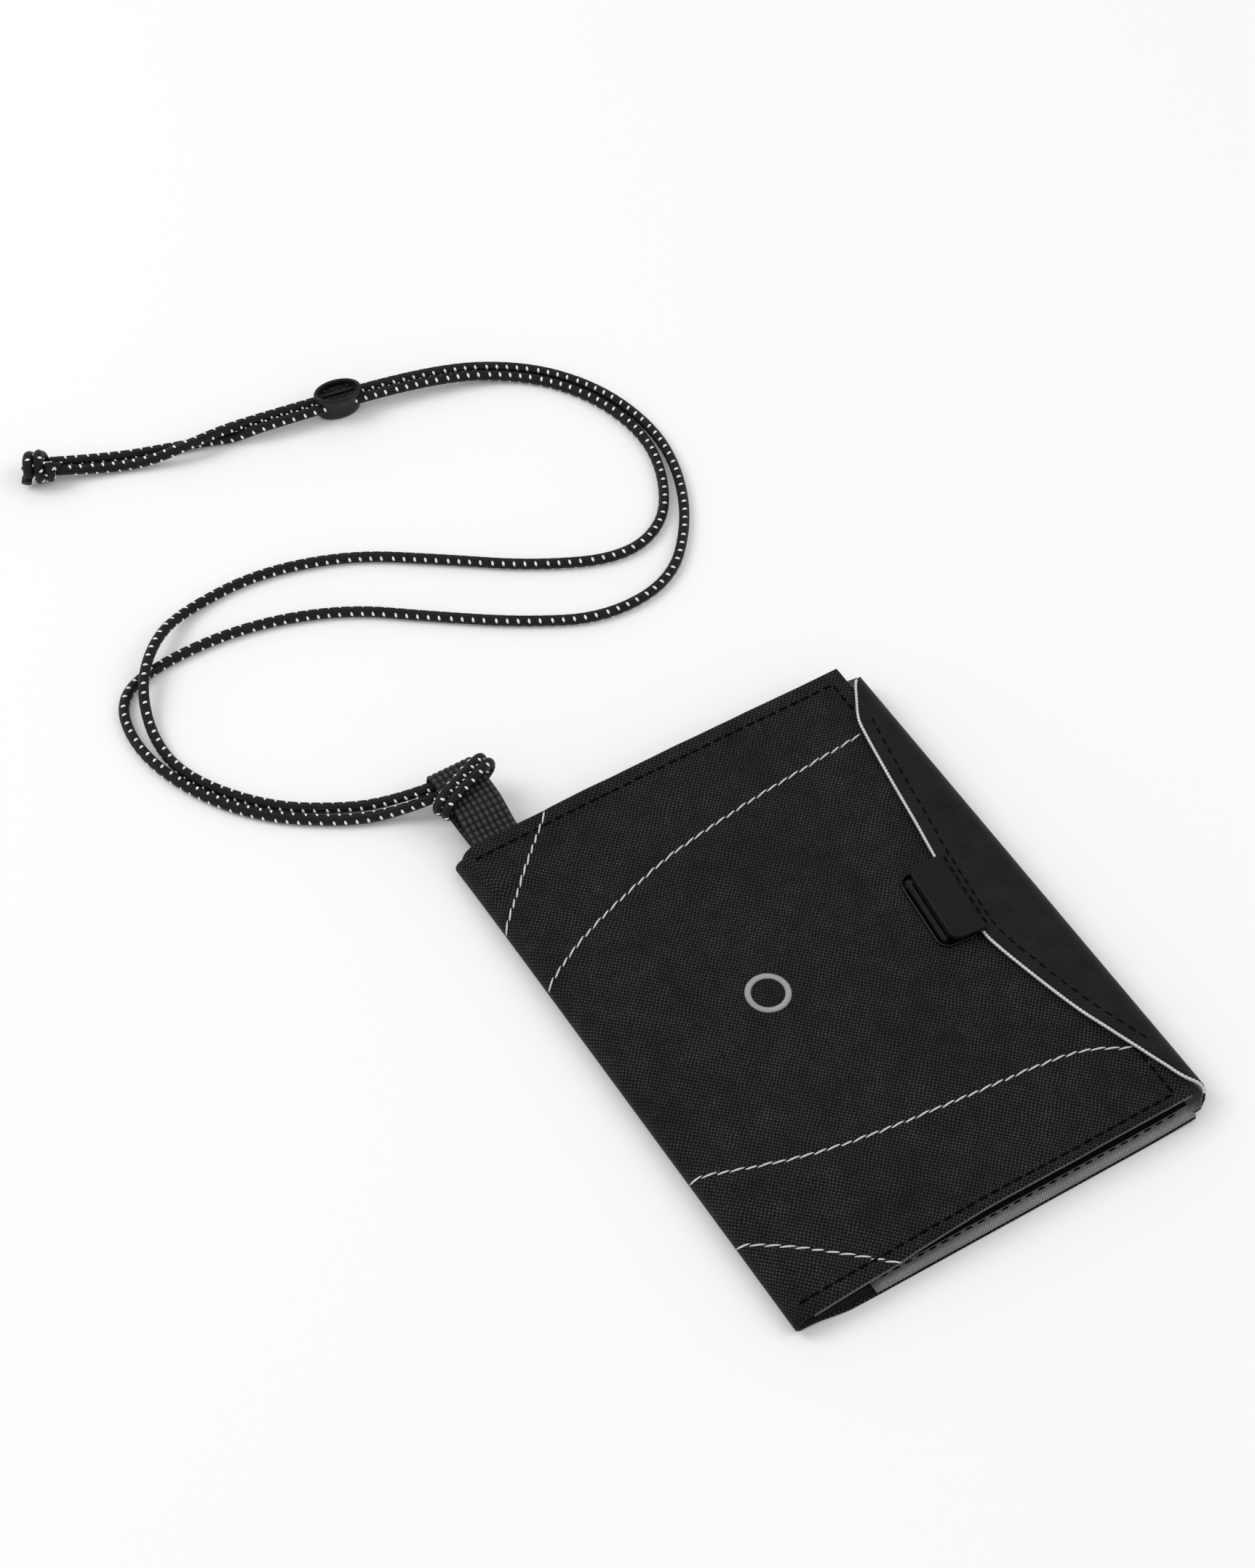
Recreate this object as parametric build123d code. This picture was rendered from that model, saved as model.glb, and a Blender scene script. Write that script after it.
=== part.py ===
from build123d import *
import os
from math import cos, pi, radians, sin, tan

# Flat travel pouch worn on a neck cord. Millimetres, +Z up, the pouch lies on its back.
# Origin: middle of the back panel's outer face. +X from the spine to the flap fold,
# +Y from the open bottom edge to the open top edge, where the cord is tied.

# ---- Driving dimensions ------------------------------------------------------
POUCH_W = 105.0          # spine to flap fold
POUCH_L = 137.0          # open bottom edge to open top edge
CAVITY_H = 4.4           # clear height between the two inner pockets

SHELL_T = 0.6            # outer cloth
LINING_T = 0.4           # linings and pocket sheets
FLAP_T = 0.8             # flap cloth
FLAP_GAP = 0.4           # closed flap above the cover
HINGE_GAP = 0.3          # between the two halves of the flap fold at its crease

COVER_SETBACK = 4.3      # free edge of the cover, inside the flap fold
SILVER_START = 19.5      # spine to the left edge of the silver pocket sheet
CARD_POCKET_W = 66.0     # pocket sheet under the cover
CARD_POCKET_L = 96.0
EDGE_RADIUS = 2.0        # cover's outer corners

FLAP_TOP_Y = 65.5        # flap ends short of the pouch's corners
FLAP_BOTTOM_Y = -67.0
FLAP_DEPTH_TOP = 15.7    # fold to the upper end of the straight front edge
FLAP_DEPTH_BOTTOM = 17.9  # fold to its lower end: the catch sits slightly askew
FLAP_FRONT_TOP_Y = 11.6
FLAP_FRONT_BOTTOM_Y = -9.8

TAB_W = 21.2             # catch tab, along the flap's front edge
TAB_REACH = 7.4          # tab beyond the front edge
TAB_FLANGE = 4.0         # sewing flange inside the flap
TAB_FLANGE_T = 0.4
TAB_T = 1.4
TAB_LIP = 0.8            # hooked lip's thickness and drop
BASE_W = 20.6            # catch base on the cover
BASE_REACH = 9.8         # front edge of the flap to the base's far edge
BASE_FOOT_T = 0.5
BASE_BODY_T = 0.8
CATCH_GAP = 0.3          # base to tab
STUD_R = 0.8
MAGNET = (3.6, 11.0, 0.8)

WEB_W = 11.5             # webbing loop
WEB_T = 1.0
WEB_FROM_SPINE = 10.9    # spine to the webbing's middle
WEB_ROOT = 12.0          # length sewn between cover and lining
WEB_SEWN_PAST = 1.6      # sewn double this far past the pouch's edge
WEB_SEAM = 0.1           # between the strap's two layers where they are sewn
EYE_H = 3.9              # clear height of the webbing's eye
EYE_RISE = 3.0           # upper layer of the eye above the sewn layers
EYE_REACH = 22.0         # pouch edge to the tip of the webbing

CORD_D = 2.5
CORD_GAP = 0.3           # between the two strands, side by side
CORD_LIFT = 0.05         # under a strand that lies on the table
CROSSING_GAP = 0.6       # between the strands where one lies over the other
HITCH_GAP = 0.15
HITCH_WRAPS = (11.6, 14.9)  # pouch edge to the middle of each wrap

LOCK_L = 12.2            # oval cord lock
lock_wALL = 0.55
LOCK_FLOOR = 0.5
LOCK_CLEAR = 0.2         # around each strand
LOCK_FIT = 0.1           # plunger in its shaft
PRESS_TRAVEL = 0.6
SPRING_H = 1.3
SPRING_WIRE = 0.25
PLUNGER_WEB = 0.5        # plunger under the strands
PLUNGER_SIDE = 0.4       # plunger beside the strands
PAN_T = 0.8              # plunger's pressed face
PAN_DEPTH = 0.8          # lock's rim above it
LOCK_ANGLE = -10.0       # cord direction at the lock, from +X
LOCK_AT = (46.3, 135.9)  # from the pouch's spine and top edge
LOCK_RUN = (-19.5, 24.5)  # straight strands each side of the lock

KNOT_L = 8.5
KNOT_D = 8.4
KNOT_AT = (-25.3, 154.4)
KNOT_ANGLE = 158.0

STITCH_W = 0.35
STITCH_H = 0.25
STITCH_INSET = 3.4

EMBLEM_AT = (-13.8, 1.5)
RING_R = 4.4             # middle of the embroidered ring's band
RING_BAND = 1.7
EMBLEM_T = 0.3

# ---- Heights, from the back panel up -----------------------------------------
floor_top = SHELL_T + LINING_T
silver_top = floor_top + LINING_T
pocket_z = silver_top + CAVITY_H
lining_z = pocket_z + LINING_T
cover_z = lining_z + LINING_T
cover_top = cover_z + SHELL_T
flap_lining_z = cover_top + FLAP_GAP
flap_z = flap_lining_z + LINING_T
flap_top = flap_z + FLAP_T

# ---- Places in plan ----------------------------------------------------------
spine_x = -POUCH_W / 2
fold_x = POUCH_W / 2
top_y = POUCH_L / 2
spine_r = cover_top / 2
fold_r = flap_top / 2
panel_left = spine_x + spine_r
panel_right = fold_x - fold_r
cover_right = fold_x - COVER_SETBACK
web_x = spine_x + WEB_FROM_SPINE
crease_z = fold_r
cord_spacing = CORD_D + CORD_GAP
cord_z = CORD_D / 2 + CORD_LIFT
crossing_z = cord_z + CORD_D + CROSSING_GAP
hitch_x = WEB_FROM_SPINE - WEB_W / 2 - HITCH_GAP - CORD_D / 2
hinge_x = fold_x + HINGE_GAP / 2    # crease that the flap turns on

front_top = Vector(fold_x - FLAP_DEPTH_TOP, FLAP_FRONT_TOP_Y)
front_bottom = Vector(fold_x - FLAP_DEPTH_BOTTOM, FLAP_FRONT_BOTTOM_Y)
front_mid = (front_top + front_bottom) * 0.5
catch_turn = -(front_top - front_bottom).get_angle(Vector(0, 1))


def slab(x, y, z):
    """Box between pairs of coordinates."""
    size = [b - a for a, b in (x, y, z)]
    middle = [(a + b) / 2 for a, b in (x, y, z)]
    return Pos(*middle) * Box(*size)


def catch_frame(shape):
    """Place a shape drawn with +X away from the flap and +Y along its front edge."""
    return Pos(front_mid.X, front_mid.Y, 0) * Rot(0, 0, catch_turn) * Rot(0, 0, 180) * shape


# ---- Pouch -------------------------------------------------------------------
def back_panel():
    return slab((panel_left, panel_right), (-top_y, top_y), (0, SHELL_T))


def back_lining():
    return slab((panel_left, panel_right), (-top_y, top_y), (SHELL_T, floor_top))


def silver_pocket():
    return slab((spine_x + SILVER_START, panel_right), (-top_y, top_y), (floor_top, silver_top))


def half_tube(outer, inner, x, z):
    """Sheet bent through 180 degrees about an axis along Y, open towards +X."""
    ring = Circle(outer) - Circle(inner) - Pos(outer, 0) * Rectangle(2 * outer, 2 * outer)
    return Pos(x, 0, z) * extrude(Plane.XZ * ring, top_y, both=True)


def spine_fold():
    return half_tube(spine_r, spine_r - SHELL_T, panel_left, spine_r)


def spine_lining():
    radius = spine_r - SHELL_T
    return half_tube(radius, radius - LINING_T, panel_left, spine_r)


def cover_outline(right):
    """Sheet of the cover, its two free corners rounded."""
    sheet = Pos((panel_left + right) / 2, 0) * Rectangle(right - panel_left, POUCH_L)
    corners = sheet.vertices().filter_by(lambda v: v.X > 0)
    return fillet(corners, EDGE_RADIUS)


def stud_places():
    """Centres of the catch base's two studs, in the catch's own frame."""
    across = (BASE_REACH - STUD_R * 2) / 2 + 0.8
    return [(across, side * (BASE_W / 2 - 3.0)) for side in (-1, 1)]


def studs(bottom, top):
    pins = [Pos(x, y, bottom) * extrude(Circle(STUD_R), top - bottom) for x, y in stud_places()]
    return catch_frame(Compound(children=pins))


def backplate_block():
    """Solid of the plate that the studs are riveted to."""
    far = BASE_REACH - 1.0
    plate = RectangleRounded(far - 1.6, BASE_W - 2.0, 1.5)
    block = Pos((far + 1.6) / 2, 0, lining_z) * extrude(plate, LINING_T)
    return catch_frame(block)


def front_cover():
    sheet = Pos(0, 0, cover_z) * extrude(cover_outline(cover_right), SHELL_T)
    return sheet - studs(cover_z - 1, cover_top + 1)


def webbing_notch():
    half = WEB_W / 2
    return slab((web_x - half, web_x + half), (top_y - WEB_ROOT, top_y + 1), (0, cover_z))


def cover_lining():
    sheet = Pos(0, 0, lining_z) * extrude(cover_outline(cover_right - 0.2), LINING_T)
    return sheet - webbing_notch() - backplate_block()


def cover_pocket():
    right = cover_right - 1.2
    low = -top_y + 2.0
    return slab((right - CARD_POCKET_W, right), (low, low + CARD_POCKET_L), (pocket_z, lining_z))


# ---- Webbing loop ------------------------------------------------------------
def webbing_loop():
    """Strap folded double: sewn under the cover's hem, open beyond it as an eye."""
    upper = cover_z - WEB_T / 2
    lower = upper - WEB_T - WEB_SEAM
    eye_top = upper + EYE_RISE
    eye_low = eye_top - EYE_H - WEB_T
    start = top_y - WEB_ROOT
    sewn_to = top_y + WEB_SEWN_PAST
    bend = (EYE_H + WEB_T) / 2
    tip = top_y + EYE_REACH - WEB_T / 2
    points = [
        (start, upper),
        (sewn_to, upper),
        (top_y + 8.0, eye_top),
        (tip, eye_top),
        (tip, eye_low),
        (top_y + 8.0, eye_low),
        (sewn_to, lower),
        (start, lower),
    ]
    radii = [4.0, 4.0, bend - 0.05, bend - 0.05, 4.0, 4.0]
    strap = trace(FilletPolyline(*points, radius=radii), WEB_T)
    root = Rectangle(sewn_to - start, upper - lower + WEB_T)
    root = Pos((start + sewn_to) / 2, (upper + lower) / 2) * root
    strap = strap + root
    return Pos(web_x, 0, 0) * extrude(Plane.YZ * strap, WEB_W / 2, both=True)


# ---- Flap --------------------------------------------------------------------
def flap_points():
    """Free edge of the flap in plan, from its top corner to its bottom corner."""
    return [
        (fold_x + 1, FLAP_TOP_Y),
        (fold_x - 3.4, FLAP_TOP_Y - 3.0),
        (fold_x - 8.6, front_top.Y + 40.0),
        (front_top.X, front_top.Y),
        (front_bottom.X, front_bottom.Y),
        (fold_x - 15.9, front_bottom.Y - 8.0),
        (fold_x - 2.2, FLAP_BOTTOM_Y + 1.2),
        (fold_x + 1, FLAP_BOTTOM_Y),
    ]


def flap_plan(inset=0.0):
    """Area of the flap in plan, its free edge moved in by the inset."""
    free_edge = FilletPolyline(*flap_points(), radius=[3.0, 8.0, 1.0, 3.0, 14.0, 2.0])
    closing = Line(free_edge @ 1, free_edge @ 0)
    area = make_face(Curve() + free_edge + closing)
    if inset:
        area = offset(area, -inset)
    return area


def fold_profile(outer, thickness, upper):
    """Section of cloth in a quarter bend about the fold, with its flat run on the flap side."""
    ring = Circle(outer) - Circle(outer - thickness)
    side = 1 if upper else -1
    quarter = ring & Pos(outer, side * outer) * Rectangle(2 * outer, 2 * outer)
    gap = Rectangle(4 * outer, HINGE_GAP)
    section = Pos(panel_right, crease_z) * (quarter - gap)
    if upper:
        reach = FLAP_DEPTH_BOTTOM + 2
        flat = Pos(panel_right - reach / 2, crease_z + outer - thickness / 2)
        section = section + flat * Rectangle(reach, thickness)
    return Plane.XZ * section


def fold_strip():
    """Flap cloth from the back panel up to the crease."""
    bend = extrude(fold_profile(fold_r, FLAP_T, False), top_y, both=True)
    return bend & extrude(Pos(0, 0, -1) * flap_plan(), flap_top + 2)


def flange_block():
    """Sewing flange of the tab, inside the flap."""
    plate = Pos(-TAB_FLANGE / 2, 0) * Rectangle(TAB_FLANGE, TAB_W - 1.2)
    return catch_frame(Pos(0, 0, flap_z) * extrude(plate, TAB_FLANGE_T))


def flap_shell():
    cloth = extrude(fold_profile(fold_r, FLAP_T, True), top_y, both=True)
    cloth = cloth & extrude(Pos(0, 0, -1) * flap_plan(), flap_top + 2)
    return cloth - flange_block()


def flap_lining():
    """Silver cloth under the flap: its edge shows along the flap's free edge."""
    cloth = extrude(fold_profile(fold_r - FLAP_T, LINING_T, True), top_y, both=True)
    return cloth & extrude(Pos(0, 0, -1) * flap_plan(), flap_top + 2)


# ---- Magnetic catch ----------------------------------------------------------
base_top = cover_top + BASE_FOOT_T + BASE_BODY_T
tab_z = base_top + CATCH_GAP
body_reach = TAB_REACH - TAB_LIP - 0.4


def magnet_block(z):
    return Pos(body_reach / 2 + 0.4, 0, z + MAGNET[2] / 2) * Box(*MAGNET)


def catch_base():
    foot = Pos((BASE_REACH + 0.6) / 2, 0) * RectangleRounded(BASE_REACH - 0.6, BASE_W, 2.8)
    body = Pos((body_reach + 1.2) / 2, 0) * RectangleRounded(body_reach - 1.2, BASE_W - 2.4, 1.4)
    plate = Pos(0, 0, cover_top) * extrude(foot, BASE_FOOT_T)
    block = Pos(0, 0, cover_top + BASE_FOOT_T) * extrude(body, BASE_BODY_T)
    base = catch_frame(plate + block - magnet_block(base_top - MAGNET[2]))
    return base + studs(lining_z, cover_top)


def catch_backplate():
    return backplate_block() - studs(lining_z - 1, cover_z + 1)


def base_magnet():
    return catch_frame(magnet_block(base_top - MAGNET[2]))


def catch_tab():
    outline = Pos((TAB_REACH + 0.2) / 2, 0) * RectangleRounded(TAB_REACH - 0.2, TAB_W, 2.4)
    square_end = Pos(1.7, 0) * Rectangle(3.0, TAB_W)
    plate = Pos(0, 0, tab_z) * extrude(outline + square_end, TAB_T)
    inner = Pos((TAB_REACH + 0.2) / 2 - TAB_LIP, 0) * RectangleRounded(TAB_REACH - 0.2, TAB_W + 4, 2.0)
    lip = Pos(0, 0, tab_z - TAB_LIP) * extrude(outline - inner, TAB_LIP)
    web = Pos(0.5, 0, flap_z + (tab_z - flap_z) / 2) * Box(0.6, TAB_W - 1.2, tab_z - flap_z)
    bridge = Pos(0.1, 0, flap_z + TAB_FLANGE_T / 2) * Box(0.2, TAB_W - 1.2, TAB_FLANGE_T)
    tab = plate + lip + web + bridge - magnet_block(tab_z)
    return catch_frame(tab) + flange_block()


def tab_magnet():
    return catch_frame(magnet_block(tab_z))


# ---- Stitching and emblem ----------------------------------------------------
def thread(line, z, width=STITCH_W, height=STITCH_H):
    return Pos(0, 0, z) * extrude(trace(line, width), height)


def hem_stitching():
    """Black topstitching along the cover's three free edges."""
    right = cover_right - STITCH_INSET
    high = top_y - STITCH_INSET
    row = Polyline((panel_left, high), (right, high), (right, -high), (panel_left, -high))
    return thread(row, cover_top)


def contrast_stitching():
    """Four pale curves sewn across the cover, fixed to its edges and to the flap."""
    left = panel_left + 0.4
    rows = [
        [(left, top_y - 18.2), (left + 9.0, top_y - 10.0), (left + 20.2, top_y - 0.6)],
        [(left, top_y - 39.0), (-22.0, top_y - 27.5), (20.0, top_y - 21.2), (40.0, top_y - 18.7)],
        [(left, -top_y + 37.5), (-11.0, -top_y + 27.5), (18.0, -top_y + 25.5), (41.0, -top_y + 19.5)],
        [(left, -top_y + 19.6), (-37.0, -top_y + 9.4), (-27.0, -top_y + 0.6)],
    ]
    black_row = hem_stitching()
    threads = [thread(Spline(*row), cover_top) - black_row for row in rows]
    return Compound(children=threads)


def back_stitching():
    row = Line((spine_x + SILVER_START + 2, -top_y + 2.8), (panel_right - 3, -top_y + 2.8))
    return thread(row, silver_top)


def flap_stitching():
    """One row inside the flap's free edge and a second, short row behind the catch."""
    band = flap_plan(STITCH_INSET) - flap_plan(STITCH_INSET + STITCH_W)
    keep = Pos(panel_right - 25, 0) * Rectangle(50 - 1.0, POUCH_L)
    row = Pos(0, 0, flap_top) * extrude(band & keep, STITCH_H)
    second = catch_frame(Pos(-1.4, 0, flap_top) * extrude(Rectangle(STITCH_W, TAB_W - 2), STITCH_H))
    return Compound(children=[row, second])


def emblem():
    """Plain embroidered ring."""
    ring = Circle(RING_R + RING_BAND / 2) - Circle(RING_R - RING_BAND / 2)
    return Pos(EMBLEM_AT[0], EMBLEM_AT[1], cover_top) * extrude(ring, EMBLEM_T)


# ---- Neck cord ---------------------------------------------------------------
# Route points are measured from the pouch's spine and top edge.
lock_cord_z = LOCK_FLOOR + SPRING_H + PLUNGER_WEB + LOCK_CLEAR + CORD_D / 2


def lock_end(side, along):
    """Point of one strand's straight run through the lock."""
    turn = radians(LOCK_ANGLE)
    across = side * cord_spacing / 2
    x = LOCK_AT[0] + along * cos(turn) - across * sin(turn)
    y = LOCK_AT[1] + along * sin(turn) + across * cos(turn)
    return (x, y, lock_cord_z)


inner_route = [
    (hitch_x, 20.8, 5.2),
    (-2.5, 23.8, 2.3),
    (-12.0, 28.0, cord_z),
    (-27.0, 37.8, cord_z),
    (-38.5, 54.5, cord_z),
    (-39.8, 68.5, cord_z),
    (-35.5, 82.0, crossing_z),
    (-26.0, 92.5, crossing_z),
    (-14.5, 98.5, cord_z),
    (4.5, 99.5, cord_z),
    (25.5, 93.0, cord_z),
    (42.5, 81.0, cord_z),
    (60.5, 67.5, cord_z),
    (79.5, 58.5, cord_z),
    (93.5, 62.5, cord_z),
    (101.8, 76.0, cord_z),
    (104.6, 90.5, cord_z),
    (100.4, 107.5, cord_z),
    (89.5, 122.0, cord_z),
    lock_end(-1, LOCK_RUN[1]),
    lock_end(-1, LOCK_RUN[0]),
    (6.0, 141.7, cord_z),
    (-8.0, 146.7, cord_z),
    (-22.5, 151.7, 3.2),
]

outer_route = [
    (hitch_x, 17.8, 5.2),
    (-3.0, 20.4, 2.3),
    (-13.5, 24.7, cord_z),
    (-29.0, 35.5, cord_z),
    (-39.5, 50.5, cord_z),
    (-44.5, 68.5, cord_z),
    (-40.5, 84.0, cord_z),
    (-25.0, 87.5, cord_z),
    (-4.5, 86.5, cord_z),
    (16.5, 79.0, cord_z),
    (32.5, 66.5, cord_z),
    (49.5, 54.0, cord_z),
    (66.5, 45.0, cord_z),
    (85.5, 46.5, cord_z),
    (98.0, 59.5, cord_z),
    (105.4, 75.0, cord_z),
    (107.6, 90.7, cord_z),
    (103.1, 108.9, cord_z),
    (91.3, 124.4, cord_z),
    lock_end(1, LOCK_RUN[1]),
    lock_end(1, LOCK_RUN[0]),
    (7.0, 144.7, cord_z),
    (-7.0, 149.4, cord_z),
    (-21.5, 154.3, 3.2),
]


def strand(name, route):
    """Tube of straight runs joined by the largest arcs that the runs allow."""
    points = [Vector(spine_x + x, top_y + y, z) for x, y, z in route]
    runs = [b - a for a, b in zip(points, points[1:])]
    radii = []
    for one, two in zip(runs, runs[1:]):
        turn = one.get_angle(two)
        radii.append(0.45 * min(one.length, two.length) / tan(radians(turn / 2)))
    path = FilletPolyline(*points, radius=radii)
    start = Plane(path @ 0, z_dir=path % 0)
    tube = sweep(start * Circle(CORD_D / 2), path)
    section = pi * CORD_D**2 / 4
    print(name, "length", round(path.length, 1), "volume ratio",
          round(tube.volume / (section * path.length), 4))
    print(name, "radii", [round(r, 1) for r in radii])
    return tube


def cord_hitch():
    """Two wraps round the webbing's upper run, joined by the bight on its left side."""
    eye_top = cover_z - WEB_T / 2 + EYE_RISE
    half_w = WEB_W / 2 + HITCH_GAP + CORD_D / 2
    half_h = WEB_T / 2 + HITCH_GAP + CORD_D / 2
    loops = []
    for y in HITCH_WRAPS:
        path = Plane.XZ * RectangleRounded(2 * half_w, 2 * half_h, half_h - 0.01).wire()
        path = Pos(web_x, top_y + y, eye_top) * path
        start = Plane(path @ 0, z_dir=path % 0)
        loops.append(sweep(start * Circle(CORD_D / 2), path))
    bight = Pos(spine_x + hitch_x, top_y + 16.2, 5.2) * Rot(90, 0, 0) * Cylinder(CORD_D / 2, 12.0)
    link = Pos(spine_x + hitch_x, top_y + 13.0, 6.6) * Cylinder(CORD_D / 2, 2.8)
    return loops[0] + loops[1] + bight + link


def cord_knot():
    """Stopper knot with a short cut tail."""
    barrel = Cylinder(KNOT_D / 2, KNOT_L)
    barrel = fillet(barrel.edges().filter_by(GeomType.CIRCLE), 3.0)
    tail = Pos(0, -1.6, KNOT_L / 2 + 0.8) * Cylinder(CORD_D / 2, 3.4)
    body = Rot(0, 0, KNOT_ANGLE) * Rot(0, 90, 0) * Rot(0, 0, 90) * (barrel + tail)
    return Pos(spine_x + KNOT_AT[0], top_y + KNOT_AT[1], KNOT_D / 2) * body


# ---- Cord lock, drawn with its strands along +X and then placed ---------------
lock_bore_r = CORD_D / 2 + LOCK_CLEAR
slot_half = cord_spacing / 2 + lock_bore_r
web_low = LOCK_FLOOR + SPRING_H
slot_low = web_low + PLUNGER_WEB
pan_low = lock_cord_z + CORD_D / 2 + PRESS_TRAVEL + LOCK_CLEAR
pan_top = pan_low + PAN_T
lock_w = 2 * (slot_half + PLUNGER_SIDE + LOCK_FIT + lock_wALL)
lock_h = pan_top + PAN_DEPTH
shaft_x = LOCK_L / 2 - 1.1
shaft_y = lock_w / 2 - lock_wALL


def lock_frame(shape):
    return Pos(spine_x + LOCK_AT[0], top_y + LOCK_AT[1], 0) * Rot(0, 0, LOCK_ANGLE) * shape


def cord_lock_body():
    oval = extrude(Ellipse(LOCK_L / 2, lock_w / 2), lock_h)
    oval = chamfer(oval.edges().group_by(Axis.Z)[0], 0.3)
    collar = Pos(0, 0, lock_h - 1.6) * extrude(Ellipse(LOCK_L / 2 + 0.35, lock_w / 2 + 0.35), 1.6)
    collar = chamfer(collar.edges().group_by(Axis.Z)[-1], 0.25)
    shaft = Pos(0, 0, LOCK_FLOOR) * extrude(Ellipse(shaft_x, shaft_y), lock_h)
    tunnel = SlotOverall(2 * slot_half, 2 * lock_bore_r)
    tunnel = Pos(0, 0, lock_cord_z) * extrude(Plane.YZ * tunnel, LOCK_L, both=True)
    return lock_frame(oval + collar - shaft - tunnel)


def cord_lock_plunger():
    plan = Ellipse(shaft_x - LOCK_FIT, shaft_y - LOCK_FIT)
    pan = Pos(0, 0, pan_low) * extrude(plan, pan_top - pan_low)
    dish = Pos(0, 0, pan_top - 0.4) * extrude(Ellipse(shaft_x - 0.7, shaft_y - 0.7), 1)
    bar = Pos(0, 0, pan_top - 0.2) * Box(2 * shaft_x - 1.5, 0.6, 0.4)
    block = Pos(0, 0, web_low) * extrude(plan, pan_low - web_low)
    block = block & slab((-1.8, 1.8), (-lock_w, lock_w), (0, lock_h))
    window = slab((-5, 5), (-slot_half - 0.02, slot_half + 0.02), (slot_low, pan_low))
    return lock_frame(pan - dish + bar + (block - window))


def cord_lock_spring():
    """Open coil between the lock's floor and the plunger, turned from round wire."""
    height = SPRING_H - SPRING_WIRE - 0.04
    coil = Helix(pitch=height / 1.75, height=height, radius=1.4)
    start = Plane(coil @ 0, z_dir=coil % 0)
    wire = sweep(start * Circle(SPRING_WIRE / 2), coil, is_frenet=True)
    return lock_frame(Pos(0, 0, LOCK_FLOOR + SPRING_WIRE / 2 + 0.02) * wire)


# ---- Every sub-part in its own file ------------------------------------------
nodes = {
    "back_panel": back_panel(),
    "back_lining": back_lining(),
    "silver_pocket": silver_pocket(),
    "spine_fold": spine_fold(),
    "spine_lining": spine_lining(),
    "front_cover": front_cover(),
    "cover_lining": cover_lining(),
    "cover_pocket": cover_pocket(),
    "fold_strip": fold_strip(),
    "webbing_loop": webbing_loop(),
    "catch_base": catch_base(),
    "catch_backplate": catch_backplate(),
    "base_magnet": base_magnet(),
    "emblem": emblem(),
    "contrast_stitching": contrast_stitching(),
    "hem_stitching": hem_stitching(),
    "back_stitching": back_stitching(),
    "flap_shell": flap_shell(),
    "flap_lining": flap_lining(),
    "flap_stitching": flap_stitching(),
    "catch_tab": catch_tab(),
    "tab_magnet": tab_magnet(),
    "cord_hitch": cord_hitch(),
    "cord_strand_inner": strand("inner", inner_route),
    "cord_strand_outer": strand("outer", outer_route),
    "cord_knot": cord_knot(),
    "cord_lock_body": cord_lock_body(),
    "cord_lock_plunger": cord_lock_plunger(),
    "cord_lock_spring": cord_lock_spring(),
}

print("flap hinge axis at x, z:", hinge_x, crease_z)
os.makedirs("parts", exist_ok=True)
for name, shape in nodes.items():
    export_step(shape, f"parts/{name}.step")
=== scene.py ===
import math

import bpy
from mathutils import Matrix, Vector, noise


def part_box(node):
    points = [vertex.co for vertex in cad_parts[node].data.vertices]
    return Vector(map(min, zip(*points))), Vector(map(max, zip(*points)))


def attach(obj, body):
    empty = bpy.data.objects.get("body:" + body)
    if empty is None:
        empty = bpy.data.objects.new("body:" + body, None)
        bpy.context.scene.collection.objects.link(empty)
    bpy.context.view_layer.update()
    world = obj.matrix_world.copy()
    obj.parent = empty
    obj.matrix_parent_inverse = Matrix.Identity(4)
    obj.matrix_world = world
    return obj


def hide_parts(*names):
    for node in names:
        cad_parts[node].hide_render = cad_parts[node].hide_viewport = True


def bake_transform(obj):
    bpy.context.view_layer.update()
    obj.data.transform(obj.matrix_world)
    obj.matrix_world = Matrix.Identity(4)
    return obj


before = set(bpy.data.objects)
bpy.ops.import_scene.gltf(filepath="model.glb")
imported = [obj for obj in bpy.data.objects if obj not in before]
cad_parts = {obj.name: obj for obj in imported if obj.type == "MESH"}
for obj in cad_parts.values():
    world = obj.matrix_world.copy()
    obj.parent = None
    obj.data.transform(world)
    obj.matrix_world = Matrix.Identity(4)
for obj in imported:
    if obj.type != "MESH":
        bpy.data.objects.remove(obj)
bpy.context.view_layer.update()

MM = 0.001


def low(node):
    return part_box(node)[0] / MM


def high(node):
    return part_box(node)[1] / MM


# ---- Sizes from the frame, in millimetres ------------------------------------
SPINE_X = low("spine_fold").x
PANEL_LEFT = low("back_panel").x
PANEL_RIGHT = high("back_panel").x
TOP_Y = high("back_panel").y
SHELL_T = high("back_panel").z
COVER_TOP = high("front_cover").z
COVER_RIGHT = high("front_cover").x
FLAP_TOP = high("flap_shell").z
FOLD_R = FLAP_TOP / 2
WEB_MID = (low("webbing_loop").x + high("webbing_loop").x) / 2
WEB_HALF = (high("webbing_loop").x - low("webbing_loop").x) / 2
FLAP_T = 0.7
LINING_T = 0.35
CORD_R = 1.25
RIB_ALONG = 1.62                # webbing's knobs, along and across the strap
RIB_ACROSS = 2 * WEB_HALF / 8
UP = Vector((0, 0, 1))


# ---- Mesh helpers ------------------------------------------------------------
def smooth(t):
    t = min(max(t, 0.0), 1.0)
    return t * t * (3 - 2 * t)


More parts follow.
